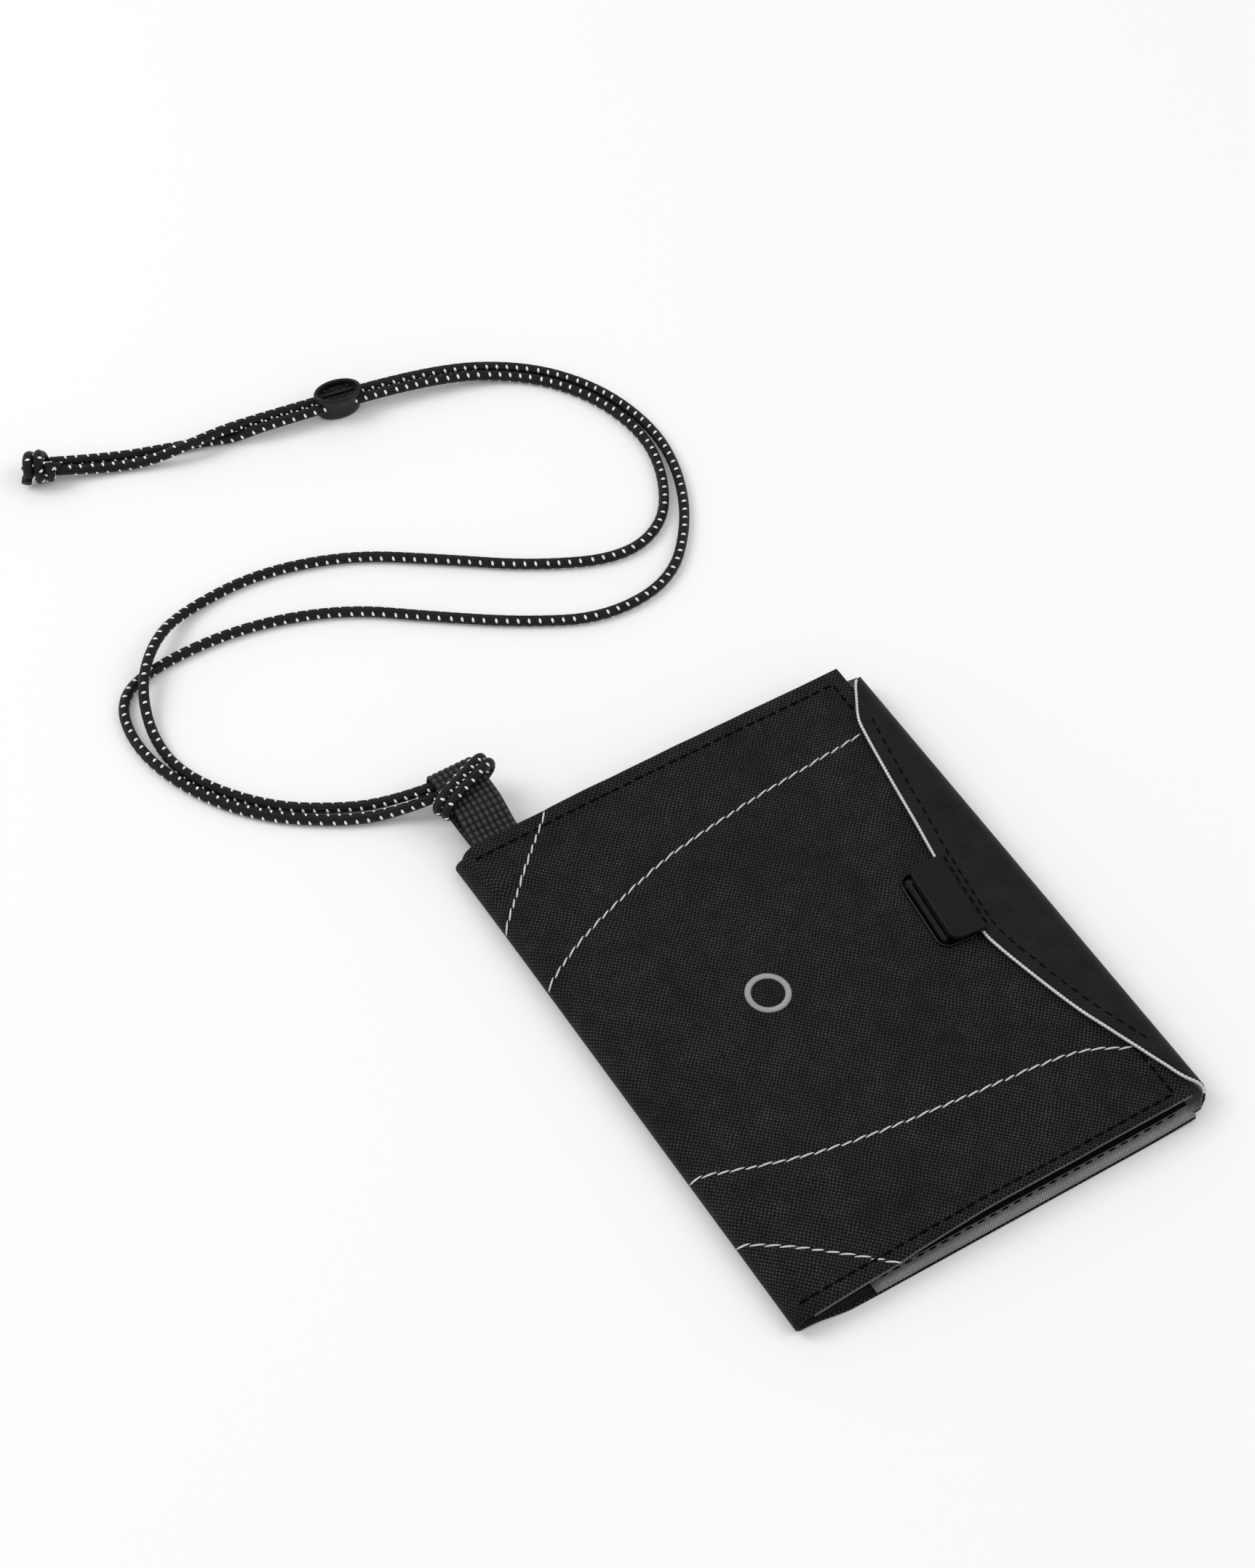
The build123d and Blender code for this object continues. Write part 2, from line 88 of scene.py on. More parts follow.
def make(name, verts, faces, material, uvs=None):
    """Mesh object from millimetre points; uvs is one pair in millimetres for each vertex."""
    mesh = bpy.data.meshes.new(name)
    mesh.from_pydata([(x * MM, y * MM, z * MM) for x, y, z in verts], [], faces)
    if uvs:
        layer = mesh.uv_layers.new(name="UVMap")
        for loop in mesh.loops:
            u, v = uvs[loop.vertex_index]
            layer.data[loop.index].uv = (u * MM, v * MM)
    mesh.polygons.foreach_set("use_smooth", [True] * len(mesh.polygons))
    mesh.materials.append(material)
    mesh.update()
    obj = bpy.data.objects.new(name, mesh)
    bpy.context.scene.collection.objects.link(obj)
    return obj


def apply_modifiers(obj):
    """Replace the object's mesh by its evaluated one."""
    bpy.context.view_layer.update()
    depsgraph = bpy.context.evaluated_depsgraph_get()
    mesh = bpy.data.meshes.new_from_object(obj.evaluated_get(depsgraph), depsgraph=depsgraph)
    obj.modifiers.clear()
    obj.data = mesh
    return obj


def cloth(name, point, rows, columns, thickness, material):
    """Sheet from point(i / rows, j / columns), which gives a place and its uv, with a thickness."""
    verts, uvs, faces = [], [], []
    for i in range(rows + 1):
        for j in range(columns + 1):
            place, uv = point(i / rows, j / columns)
            verts.append(place)
            uvs.append(uv)
    step = columns + 1
    for i in range(rows):
        for j in range(columns):
            a = i * step + j
            faces.append((a, a + 1, a + step + 1, a + step))
    obj = make(name, verts, faces, material, uvs)
    solid = obj.modifiers.new("thickness", "SOLIDIFY")
    solid.thickness = thickness * MM
    solid.offset = 0
    return apply_modifiers(obj)


def merge(parts):
    """Join lists of vertices and faces."""
    verts, faces = [], []
    for v, f in parts:
        base = len(verts)
        verts += v
        faces += [tuple(i + base for i in face) for face in f]
    return verts, faces


def tube_faces(rings, sides):
    """Faces of a closed tube whose vertices run round each of its rings in turn."""
    faces = []
    for i in range(rings - 1):
        for k in range(sides):
            n = (k + 1) % sides
            faces.append((i * sides + k, i * sides + n, (i + 1) * sides + n, (i + 1) * sides + k))
    last = (rings - 1) * sides
    faces.append(tuple(range(sides))[::-1])
    faces.append(tuple(last + k for k in range(sides)))
    return faces


def capsule(centre, along, normal, length, width, height, sides, rings):
    """A spindle along one direction, flattened and with its ends sunk towards the surface."""
    along = along.normalized()
    normal = (normal - along * normal.dot(along)).normalized()
    across = along.cross(normal)
    verts = []
    for i in range(rings):
        t = -1 + 2 * i / (rings - 1)
        swell = math.sqrt(max(0.0, 1 - 0.94 * t * t))
        sink = -0.5 * height * t * t
        for k in range(sides):
            a = 2 * math.pi * k / sides
            verts.append(centre + along * (t * length / 2)
                         + across * (math.cos(a) * swell * width / 2)
                         + normal * (math.sin(a) * swell * height / 2 + sink))
    return [tuple(v) for v in verts], tube_faces(rings, sides)


def catmull(points, per_span=12):
    """Smooth line through points."""
    pts = [Vector(p) for p in points]
    pts = [pts[0] * 2 - pts[1]] + pts + [pts[-1] * 2 - pts[-2]]
    line = []
    for a, b, c, d in zip(pts, pts[1:], pts[2:], pts[3:]):
        for k in range(per_span):
            t = k / per_span
            line.append(0.5 * (2 * b + (c - a) * t + (2 * a - 5 * b + 4 * c - d) * t * t
                               + (3 * b - a - 3 * c + d) * t ** 3))
    return line + [pts[-2]]


def resample(line, step):
    """Points at an even step along a line, with the distance of each from its start."""
    total = sum((b - a).length for a, b in zip(line, line[1:]))
    count = max(2, round(total / step))
    wanted = [total * k / count for k in range(count + 1)]
    result, run, i = [], 0.0, 0
    for w in wanted:
        while i < len(line) - 2 and run + (line[i + 1] - line[i]).length < w:
            run += (line[i + 1] - line[i]).length
            i += 1
        span = (line[i + 1] - line[i]).length
        result.append((line[i].lerp(line[i + 1], min(1.0, (w - run) / span)), w))
    return result


def nurbs(points):
    """Points of the NURBS spline that has these control points, in millimetres."""
    data = bpy.data.curves.new("route", "CURVE")
    data.dimensions = "3D"
    data.resolution_u = 16
    spline = data.splines.new("NURBS")
    spline.points.add(len(points) - 1)
    for p, co in zip(spline.points, points):
        p.co = (co[0] * MM, co[1] * MM, co[2] * MM, 1)
    spline.order_u = 3
    spline.use_endpoint_u = True
    obj = bpy.data.objects.new("route", data)
    bpy.context.scene.collection.objects.link(obj)
    bpy.context.view_layer.update()
    depsgraph = bpy.context.evaluated_depsgraph_get()
    mesh = bpy.data.meshes.new_from_object(obj.evaluated_get(depsgraph))
    line = [v.co / MM for v in mesh.vertices]
    bpy.data.objects.remove(obj)
    bpy.data.meshes.remove(mesh)
    return line


def frames(line):
    """Tangent and two carried directions at each point of a line."""
    result = []
    side = None
    for i, p in enumerate(line):
        tangent = (line[min(i + 1, len(line) - 1)] - line[max(i - 1, 0)]).normalized()
        if side is None:
            side = tangent.cross(UP)
            if side.length < 0.1:
                side = tangent.cross(Vector((0, 1, 0)))
        side = (side - tangent * side.dot(tangent)).normalized()
        result.append((tangent, side, side.cross(tangent)))
    return result


CORD_STEP = 0.36
CORD_SIDES = 16
FLECK_SIZE = (1.2, 0.62, 0.36)    # length, width, height
FLECK_STEP = 2.6
FLECK_ROWS = 3
FLECK_FIRST = 0.6                 # angle of the first row
FLECK_TWIST = 0.012
FLECK_LEAN = 1.28
FLECK_WAIST = 0.10
PLAIT_HEIGHT = 0.02


def fleck_angle(row, distance):
    return row * 2 * math.pi / FLECK_ROWS + FLECK_FIRST + FLECK_TWIST * distance


def cord_radius(distance, angle):
    """Radius of the braid: a waist at each fleck and a faint plait."""
    r = CORD_R
    for row in range(FLECK_ROWS):
        turn = math.cos(angle - fleck_angle(row, distance))
        if turn > 0.4:
            phase = math.cos(2 * math.pi * (distance / FLECK_STEP - 0.5 * (row % 2)))
            r -= FLECK_WAIST * max(0.0, phase) ** 3 * (turn - 0.4)
    return r + PLAIT_HEIGHT * math.sin(distance * 7.5) * math.sin(4 * angle)


def cord_tube(line):
    """Braided tube along a line, as vertices, faces and uvs, and its flecks."""
    points = resample(line, CORD_STEP)
    axes = frames([p for p, _ in points])
    verts, uvs = [], []
    for (p, d), (_, side, up) in zip(points, axes):
        for k in range(CORD_SIDES):
            a = 2 * math.pi * k / CORD_SIDES
            direction = side * math.cos(a) + up * math.sin(a)
            verts.append(tuple(p + direction * cord_radius(d, a)))
            uvs.append((d, a * CORD_R))
    flecks = []
    total = points[-1][1]
    for row in range(FLECK_ROWS):
        count = int(total / FLECK_STEP)
        for n in range(count):
            d = (n + 0.5 * (row % 2)) * FLECK_STEP
            i = min(len(points) - 1, round(d / total * (len(points) - 1)))
            (p, _), (tangent, side, up) = points[i], axes[i]
            a = fleck_angle(row, d)
            out = side * math.cos(a) + up * math.sin(a)
            along = tangent * math.cos(FLECK_LEAN) + tangent.cross(out) * math.sin(FLECK_LEAN)
            flecks.append(capsule(p + out * (CORD_R - PLAIT_HEIGHT), along, out, *FLECK_SIZE, 8, 5))
    return (verts, tube_faces(len(points), CORD_SIDES), uvs), merge(flecks)


# ---- Materials ---------------------------------------------------------------
class Nodes:
    """Small helper for building a material's node tree."""

    def __init__(self, name):
        self.material = bpy.data.materials.new(name)
        self.material.use_nodes = True
        self.tree = self.material.node_tree
        self.shader = self.tree.nodes["Principled BSDF"]

    def node(self, kind, **values):
        n = self.tree.nodes.new(kind)
        for key, value in values.items():
            setattr(n, key, value)
        return n

    def link(self, a, b):
        self.tree.links.new(a, b)

    def put(self, socket, value):
        if hasattr(value, "is_output"):
            self.link(value, socket)
        else:
            socket.default_value = value

    def math(self, operation, a, b=0.0):
        n = self.node("ShaderNodeMath", operation=operation)
        self.put(n.inputs[0], a)
        self.put(n.inputs[1], b)
        return n.outputs[0]

    def uv(self, su=1.0, sv=1.0):
        """The u and v of the cloth in metres, each scaled."""
        coords = self.node("ShaderNodeTexCoord")
        parts = self.node("ShaderNodeSeparateXYZ")
        self.link(coords.outputs["UV"], parts.inputs[0])
        return (self.math("MULTIPLY", parts.outputs[0], su),
                self.math("MULTIPLY", parts.outputs[1], sv))

    def noise(self, scale, stretch=(1, 1, 1), detail=3.0, source="UV"):
        coords = self.node("ShaderNodeTexCoord")
        mapping = self.node("ShaderNodeMapping")
        mapping.inputs["Scale"].default_value = stretch
        self.link(coords.outputs[source], mapping.inputs[0])
        n = self.node("ShaderNodeTexNoise")
        n.inputs["Scale"].default_value = scale
        n.inputs["Detail"].default_value = detail
        self.link(mapping.outputs[0], n.inputs["Vector"])
        return n.outputs["Fac"]

    def clamp(self, value):
        n = self.node("ShaderNodeClamp")
        self.link(value, n.inputs[0])
        return n.outputs[0]

    def mix(self, fac, dark, light):
        """Blend of two colours; the light one may be a socket."""
        n = self.node("ShaderNodeMix", data_type="RGBA")
        self.put(n.inputs[0], fac)
        n.inputs[6].default_value = (*dark, 1)
        self.put(n.inputs[7], (*light, 1) if isinstance(light, tuple) else light)
        return n.outputs[2]

    def finish(self, colour, height, distance, rough, **sockets):
        """Material with this colour, a bump of this height in mm and the named shader sockets."""
        self.link(colour, self.shader.inputs["Base Color"])
        self.put(self.shader.inputs["Roughness"], rough)
        for key, value in sockets.items():
            self.shader.inputs[key.replace("_", " ")].default_value = value
        bump = self.node("ShaderNodeBump")
        bump.inputs["Strength"].default_value = 1.0
        bump.inputs["Distance"].default_value = distance * MM
        self.link(height, bump.inputs["Height"])
        self.link(bump.outputs[0], self.shader.inputs["Normal"])
        return self.material


def plain_weave(name, dark, light, pitch, distance, rough, slub=0.5, hem=None, **sockets):
    """Over-and-under weave: threads wander, and some are thicker; black past a given v in mm."""
    m = Nodes(name)
    k = math.pi / (pitch * MM)
    u, v = m.uv(k, k)
    wander = m.math("MULTIPLY", m.noise(110), 7.0)
    cell = m.math("MULTIPLY", m.math("SINE", m.math("ADD", u, wander)),
                  m.math("SINE", m.math("SUBTRACT", v, wander)))
    along = m.noise(260, (1, 9, 1))
    across = m.noise(260, (9, 1, 1))
    slubs = m.math("MULTIPLY", m.math("ADD", along, across), slub)
    cloud = m.math("MULTIPLY", m.noise(45, detail=4.0), 1.2)
    blotch = m.math("MULTIPLY", m.noise(170, detail=2.0), 1.5)
    patch = m.math("SUBTRACT", m.math("ADD", cloud, blotch), 0.4)
    level = m.math("ADD", m.math("MULTIPLY", cell, 0.5), slubs)
    tone = m.math("MULTIPLY", m.math("SUBTRACT", level, 0.42), patch)
    colour = m.mix(m.clamp(tone), dark, light)
    if hem is not None:
        colour = m.mix(m.math("LESS_THAN", v, hem * MM * k), (0.004, 0.004, 0.004), colour)
    return m.finish(colour, level, distance, rough, **sockets)


def knobbly(name, dark, light, along, across, rough, **sockets):
    """Coarse webbing: painted highlights on its knobs, one in each cell, and painted shade in the deep
    dark lines between.
    """
    m = Nodes(name)
    u, v = m.uv(math.pi / (along * MM), math.pi / (across * MM))
    row = m.math("ABSOLUTE", m.math("SINE", u))
    column = m.math("ABSOLUTE", m.math("SINE", v))
    # painted highlight on the knobs' tops, painted shade in the lines between
    knob_highlight = m.math("MULTIPLY", m.math("POWER", row, 0.8), m.math("POWER", column, 1.5))
    fibre = m.noise(1500, (1, 4, 1), 3.0)
    tone = m.math("MULTIPLY", knob_highlight, m.math("ADD", fibre, 0.4))
    return m.finish(m.mix(tone, dark, light), fibre, 0.10, rough, **sockets)


def twill(name, dark, light, pitch, distance, rough, **sockets):
    """Fine diagonal ribs."""
    m = Nodes(name)
    k = 2 * math.pi / (pitch * MM)
    u, v = m.uv(k, k)
    rib = m.math("SINE", m.math("ADD", u, v))
    cross = m.math("SINE", m.math("MULTIPLY", m.math("SUBTRACT", u, v), 0.5))
    patch = m.noise(160, detail=4.0)
    level = m.math("ADD", m.math("MULTIPLY", rib, 0.35), m.math("MULTIPLY", cross, 0.15))
    tone = m.math("ADD", m.math("MULTIPLY", level, 0.7), m.math("MULTIPLY", patch, 0.7))
    return m.finish(m.mix(m.clamp(tone), dark, light), level, distance, rough, **sockets)


def thread(name, dark, light, pitch, rough, **sockets):
    """Twisted thread or satin stitch: fine streaks over a patchy colour."""
    m = Nodes(name)
    streak = m.noise(1.0 / (pitch * MM), detail=2.0, source="Object")
    return m.finish(m.mix(streak, dark, light), streak, 0.08, rough, **sockets)


def moulded(name, colour, rough, grain, **sockets):
    """Moulded plastic with a fine grain and slightly uneven gloss."""
    m = Nodes(name)
    speck = m.noise(5200, detail=2.0, source="Object")
    cloud = m.noise(240, detail=3.0, source="Object")
    gloss = m.math("ADD", m.math("MULTIPLY", cloud, 0.10), rough - 0.05)
    lighter = tuple(c * 1.35 for c in colour)
    return m.finish(m.mix(cloud, colour, lighter), speck, grain, gloss, **sockets)


def braid(name):
    """Plaited sheath of the elastic cord."""
    m = Nodes(name)
    k = 2 * math.pi / (0.75 * MM)
    u, v = m.uv(k, 4 / (CORD_R * MM))
    plait = m.math("MULTIPLY", m.math("SINE", m.math("ADD", u, v)),
                   m.math("SINE", m.math("SUBTRACT", u, v)))
    fuzz = m.noise(2400, detail=2.0)
    level = m.math("ADD", m.math("MULTIPLY", plait, 0.4), m.math("MULTIPLY", fuzz, 0.5))
    return m.finish(m.mix(m.clamp(level), (0.001, 0.001, 0.001), (0.022, 0.022, 0.023)),
                    level, 0.14, 0.45, Specular_IOR_Level=0.16)


COVER_CLOTH = plain_weave("cover_cloth", (0.001, 0.001, 0.0012), (0.066, 0.066, 0.070), 0.54, 0.14,
                          0.7, Specular_IOR_Level=0.10, Sheen_Weight=0.03, Sheen_Roughness=0.5)
FLAP_CLOTH = twill("flap_cloth", (0.002, 0.0021, 0.0023), (0.021, 0.0215, 0.023), 0.7, 0.07,
                   0.6, Specular_IOR_Level=0.10, Sheen_Weight=0.02, Sheen_Roughness=0.4)
BLACK_LINING = plain_weave("black_lining_cloth", (0.003, 0.003, 0.003), (0.02, 0.02, 0.021), 0.35,
                           0.04, 0.65, 0.3, Specular_IOR_Level=0.15)
SILVER = plain_weave("silver_cloth", (0.07, 0.072, 0.075), (0.42, 0.43, 0.44), 0.35, 0.04, 0.45, 0.4,
                     Metallic=0.25, Specular_IOR_Level=0.3)
SILVER_STRIP = 2.2      # width of the silver along the open edge
# Silver only in a strip along the pocket's open edge; the rest of this cloth is black.
SILVER_HEM = plain_weave("silver_hem_cloth", (0.14, 0.142, 0.145), (0.70, 0.71, 0.72), 0.35, 0.04,
                         0.45, 0.4, hem=SILVER_STRIP - TOP_Y, Metallic=0.25, Specular_IOR_Level=0.3)
EDGING = plain_weave("silver_edging", (0.45, 0.46, 0.47), (0.98, 0.98, 0.98), 0.45, 0.06, 0.35, 0.5,
                     Metallic=0.2)
WEBBING = knobbly("webbing_cloth", (0.001, 0.001, 0.001), (0.062, 0.062, 0.065), RIB_ALONG,
                  RIB_ACROSS, 0.6, Specular_IOR_Level=0.15)
PALE_THREAD = thread("pale_thread_fibre", (0.42, 0.41, 0.37), (0.80, 0.79, 0.74), 0.12, 0.6)
BLACK_THREAD = thread("black_thread_fibre", (0.001, 0.001, 0.001), (0.004, 0.004, 0.004), 0.12, 0.8,
                      Specular_IOR_Level=0.03)
EMBLEM_THREAD = thread("emblem_thread_fibre", (0.17, 0.17, 0.175), (0.52, 0.52, 0.53), 0.22, 0.4)
FLECK = thread("fleck_thread_fibre", (0.66, 0.66, 0.64), (0.92, 0.92, 0.90), 0.2, 0.5)
CORD = braid("cord_sheath")
MATT = moulded("matt_plastic", (0.004, 0.004, 0.004), 0.5, 0.02, Specular_IOR_Level=0.14)
GLOSS = moulded("gloss_plastic", (0.001, 0.001, 0.001), 0.16, 0.002, Specular_IOR_Level=0.25)
# Darker than the lock's own plastic: painted shade in the plunger's recess.
RECESS_SHADE = moulded("lock_recess_shade_plastic", (0.002, 0.002, 0.002), 0.5, 0.012, Specular_IOR_Level=0.2)
LOCK_PLASTIC = moulded("lock_plastic_moulding", (0.005, 0.005, 0.0055), 0.42, 0.012,
                       Specular_IOR_Level=0.25)
MAGNET = moulded("magnet_plate", (0.5, 0.5, 0.5), 0.3, 0.004, Metallic=1.0)
STEEL = moulded("spring_wire", (0.45, 0.45, 0.45), 0.28, 0.002, Metallic=1.0)


def recolour(node, material):
    """New material for a solid that keeps its own shape."""
    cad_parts[node].data.materials.clear()
    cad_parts[node].data.materials.append(material)


# ---- Pouch: heights of the cover and the back --------------------------------
HEM = 3.4               # stitches of the folded hem, from the cover's edge
HEM_RIDGE = 0.30
HEM_GROOVE = 0.22
SEAM_GROOVE = 0.22      # under the decorative stitches
SPINE_R = 2.75
SPINE_PINCH = 0.85      # less at the spine's ends
CORNER_FADE = 9.0
CORNER_LIFT = 1.1
CROWN = 0.7             # rise of the cover's open top edge


def spine_radius(y):
    return SPINE_R - SPINE_PINCH * math.exp(-(TOP_Y - abs(y)) / CORNER_FADE)


def ripple(x, y, scale, amount, seed):
    return amount * noise.noise(Vector((x / scale, y / scale, seed)))


def hem_profile(distance):
    """Folded hem: a little thicker out to the stitches, which pull a groove."""
    ridge = HEM_RIDGE * smooth((HEM + 1.3 - distance) / 0.9)
    groove = HEM_GROOVE * math.exp(-((distance - HEM) / 1.0) ** 2)
    return ridge - groove


STITCH_CURVES = [
    catmull([(-53.0, 46.1, 0), (-45.6, 53.2, 0), (-34.8, 63.3, 0), (-29.6, 68.0, 0)]),
    catmull([(-53.0, 28.3, 0), (-38.3, 35.5, 0), (-14.2, 43.1, 0), (11.7, 47.0, 0), (42.5, 49.9, 0)]),
    catmull([(-53.0, -28.6, 0), (-27.1, -37.8, 0), (1.7, -42.1, 0), (31.9, -45.3, 0), (44.5, -51.0, 0)]),
    catmull([(-53.0, -46.6, 0), (-42.6, -54.5, 0), (-31.3, -64.3, 0), (-26.8, -68.4, 0)]),
]


def seam_groove(x, y):
    """Groove that the decorative stitches pull in the cover."""
    nearest = min(math.hypot(a.x - x, a.y - y) for line in STITCH_CURVES for a in line[::3])
    return SEAM_GROOVE * math.exp(-(nearest / 1.3) ** 2)


def over_strap(x, y):
    """1 where the cover lies over the webbing's sewn root, falling to 0 around it."""
    beside = smooth((WEB_HALF + 4.5 - abs(x - WEB_MID)) / 4.0)
    return beside * smooth((y - low("webbing_loop").y + 5.0) / 5.0)


def cover_height(x, y):
    """Middle of the cover's cloth above the table."""
    near_bottom = math.exp(-(y + TOP_Y) / 13.0)
    near_top = math.exp(-(TOP_Y - y) / 13.0)
    spine_z = SHELL_T / 2 + 2 * spine_radius(y)
    run = 24.0 + 46.0 * near_bottom
    rise = smooth((x - SPINE_X) / run * 0.5 + 0.5) * 2 - 1
    strap = over_strap(x, y)
    rise += (1 - rise) * strap
    full = COVER_TOP - SHELL_T / 2
    crown = CROWN * near_top * math.sin(math.pi * min(1.0, max(0.0, (x + 50) / 88)))
    free = smooth((30 - x) / 12)
    waves = (ripple(x, y, 24, 0.55, 3.0) + ripple(x, y, 9, 0.20, 7.0)) * (0.25 + 0.75 * free)
    waves *= smooth((x - SPINE_X) / 8) * (1 - strap)
    edge = min(TOP_Y - y, y + TOP_Y, COVER_RIGHT - x)
    return (spine_z + (full - spine_z) * rise + crown + waves * free
            + hem_profile(edge) - seam_groove(x, y))


def back_height(x, y):
    """Middle of the back's cloth: flat on the table, its corners a little lifted."""
    corner = max(0.0, (abs(x) - 30) / 22) ** 2 * math.exp(-(y + TOP_Y) / CORNER_FADE)
    return SHELL_T / 2 + CORNER_LIFT * corner


BACK_OVER = 1.0      # the back's cloth reaches this far past the solid's open bottom edge
COVER_SHORT = 1.4    # and the cover's stops this far short of its own
SPINE_RUN = 10.0
GRAIN = 0.8


def cover_draw(x, y):
    """How far the cover's open edge is drawn up at this place."""
    return COVER_SHORT * math.exp(-(y + TOP_Y) / 5.0) * smooth((x - SPINE_X - 4) / 50)


def shell_point(i, j):
    """Outer cloth: back from the fold to the spine, round it, and over as the cover."""
    back_run = PANEL_RIGHT - PANEL_LEFT
    cover_run = COVER_RIGHT - PANEL_LEFT
    total = back_run + SPINE_RUN + cover_run
    s = j * total
    y = -TOP_Y + i * 2 * TOP_Y
    r = spine_radius(y)
    centre = SPINE_X + SHELL_T / 2 + r
    if s < back_run:
        x = PANEL_RIGHT + (centre - PANEL_RIGHT) * s / back_run
        y -= BACK_OVER * (1 - i) ** 6 * smooth((x - SPINE_X - 4) / 10)
        return (x, y, back_height(x, y)), (s, y)
    if s < back_run + SPINE_RUN:
        a = -math.pi / 2 - math.pi * (s - back_run) / SPINE_RUN
        lift = back_height(centre, y) - SHELL_T / 2
        z = SHELL_T / 2 + r + r * math.sin(a)
        return (centre + r * math.cos(a), y, z + lift * (1 - (z / (2 * r + 0.3)))), (s, y)
    t = (s - back_run - SPINE_RUN) / cover_run
    x = centre + (COVER_RIGHT - centre) * t
    y += cover_draw(x, y)
    return (x, y, cover_height(x, y)), (s, y)


outer = cloth("outer_cloth", shell_point, int(2 * TOP_Y / GRAIN), int(204 / GRAIN), SHELL_T,
              COVER_CLOTH)
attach(outer, "pouch")
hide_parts("back_panel", "spine_fold", "front_cover")


def inner_sheet(name, node, x0, x1, y0, y1, height, thickness, material, drawn=False):
    """Lining or pocket sheet that follows the back, or the cover with its drawn-up edge."""
    def point(i, j):
        x = x0 + (x1 - x0) * j
        y = y0 + (y1 - y0) * i
        if drawn:
            y += cover_draw(x, y)
        return (x, y, height(x, y)), (x, y)
    sheet = cloth(name, point, int((y1 - y0) / 2.2), int((x1 - x0) / 2.2), thickness, material)
    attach(sheet, "pouch")
    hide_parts(node)


back_gap = SHELL_T / 2 + LINING_T / 2 + 0.02
inner_sheet("silver_pocket_cloth", "silver_pocket", low("silver_pocket").x, PANEL_RIGHT,
            -TOP_Y - 0.9, TOP_Y, lambda x, y: back_height(x, y) + back_gap + LINING_T + 0.03,
            LINING_T, SILVER_HEM)
inner_sheet("cover_lining_cloth", "cover_lining", PANEL_LEFT + 1, COVER_RIGHT - 0.2, -TOP_Y - 0.25,
            TOP_Y - 0.3, lambda x, y: (cover_height(x, max(-TOP_Y, y)) - back_gap - 0.05
                                       - 2.2 * over_strap(x, y)), LINING_T,
            SILVER, drawn=True)
inner_sheet("cover_pocket_cloth", "cover_pocket", low("cover_pocket").x, high("cover_pocket").x,
            low("cover_pocket").y, high("cover_pocket").y,
            lambda x, y: cover_height(x, y) - back_gap - LINING_T - 0.25, LINING_T, SILVER,
            drawn=True)


LINING_BACK = PANEL_RIGHT - PANEL_LEFT
LINING_ROUND = 7.0


def black_lining_point(i, j):
    """Black lining: along the back and up round the inside of the spine."""
    y = -TOP_Y + i * 2 * TOP_Y
    s = j * (LINING_BACK + LINING_ROUND)
    centre = SPINE_X + SHELL_T / 2 + spine_radius(y)
    if s < LINING_BACK:
        x = PANEL_RIGHT + (centre - PANEL_RIGHT) * s / LINING_BACK
        return (x, y, back_height(x, y) + back_gap), (s, y)
    r = spine_radius(y) - back_gap
    a = -math.pi / 2 - math.pi * (s - LINING_BACK) / LINING_ROUND
    z = SHELL_T / 2 + spine_radius(y) + r * math.sin(a)
    lift = back_height(centre, y) - SHELL_T / 2
    return (centre + r * math.cos(a), y, z + lift * (1 - z / (2 * spine_radius(y)))), (s, y)


black_lining = cloth("black_lining_sheet", black_lining_point, 62, 96, LINING_T, BLACK_LINING)
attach(black_lining, "pouch")
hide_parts("back_lining", "spine_lining")


# ---- Stitches ----------------------------------------------------------------
# Step along the row, then each thread's length, width and height.
PALE_STITCH = (3.0, 3.5, 0.43, 0.44)
HEM_STITCH = (3.0, 2.7, 0.66, 0.44)
FINE_STITCH = (3.0, 2.6, 0.45, 0.34)


def stitch_row(line, height_of, stitch, turn=0.0, rise=0.0):
    """Threads laid end to end along a line in plan, on a surface or a little above it."""
    step, *size = stitch
    parts = []
    flat = [Vector((p.x, p.y, 0)) for p in line]
    points = resample(flat, step)
    for (a, _), (b, _) in zip(points, points[1:]):
        mid = (a + b) / 2
        za, zb = height_of(a.x, a.y), height_of(b.x, b.y)
        along = Vector((b.x - a.x, b.y - a.y, zb - za)).normalized()
        along = Matrix.Rotation(turn, 3, "Z") @ along
        centre = Vector((mid.x, mid.y, height_of(mid.x, mid.y) + rise))
        parts.append(capsule(centre, along, UP, *size, 8, 7))
    return parts


def cover_surface(x, y):
    if x < SPINE_X + 3.3:
        r = spine_radius(y) + SHELL_T / 2
        across = min(r - 0.05, max(0.0, SPINE_X + r - x))
        return SHELL_T / 2 + spine_radius(y) + math.sqrt(r * r - across * across)
    return cover_height(x, y) + SHELL_T / 2


def straight(*points):
    return [Vector((x, y, 0)) for x, y in points]


pale = []
for curve in STITCH_CURVES:
    pale += stitch_row(curve, cover_surface, PALE_STITCH, turn=0.17, rise=0.10)
pale_verts, pale_faces = merge(pale)
pale_stitches = make("pale_stitches", pale_verts, pale_faces, PALE_THREAD)
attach(pale_stitches, "pouch")
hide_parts("contrast_stitching")

spine_x = PANEL_LEFT - 1
edge_x = COVER_RIGHT - HEM
edge_y = TOP_Y - HEM
hem_corners = [(spine_x, edge_y), (edge_x, edge_y), (edge_x, -edge_y), (spine_x, -edge_y)]
black = []
for start, end in zip(hem_corners, hem_corners[1:]):
    black += stitch_row(straight(start, end), cover_surface, HEM_STITCH, rise=0.12)
hem_verts, hem_faces = merge(black)
hem_stitches = make("hem_stitches", hem_verts, hem_faces, BLACK_THREAD)
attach(hem_stitches, "pouch")
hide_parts("hem_stitching")

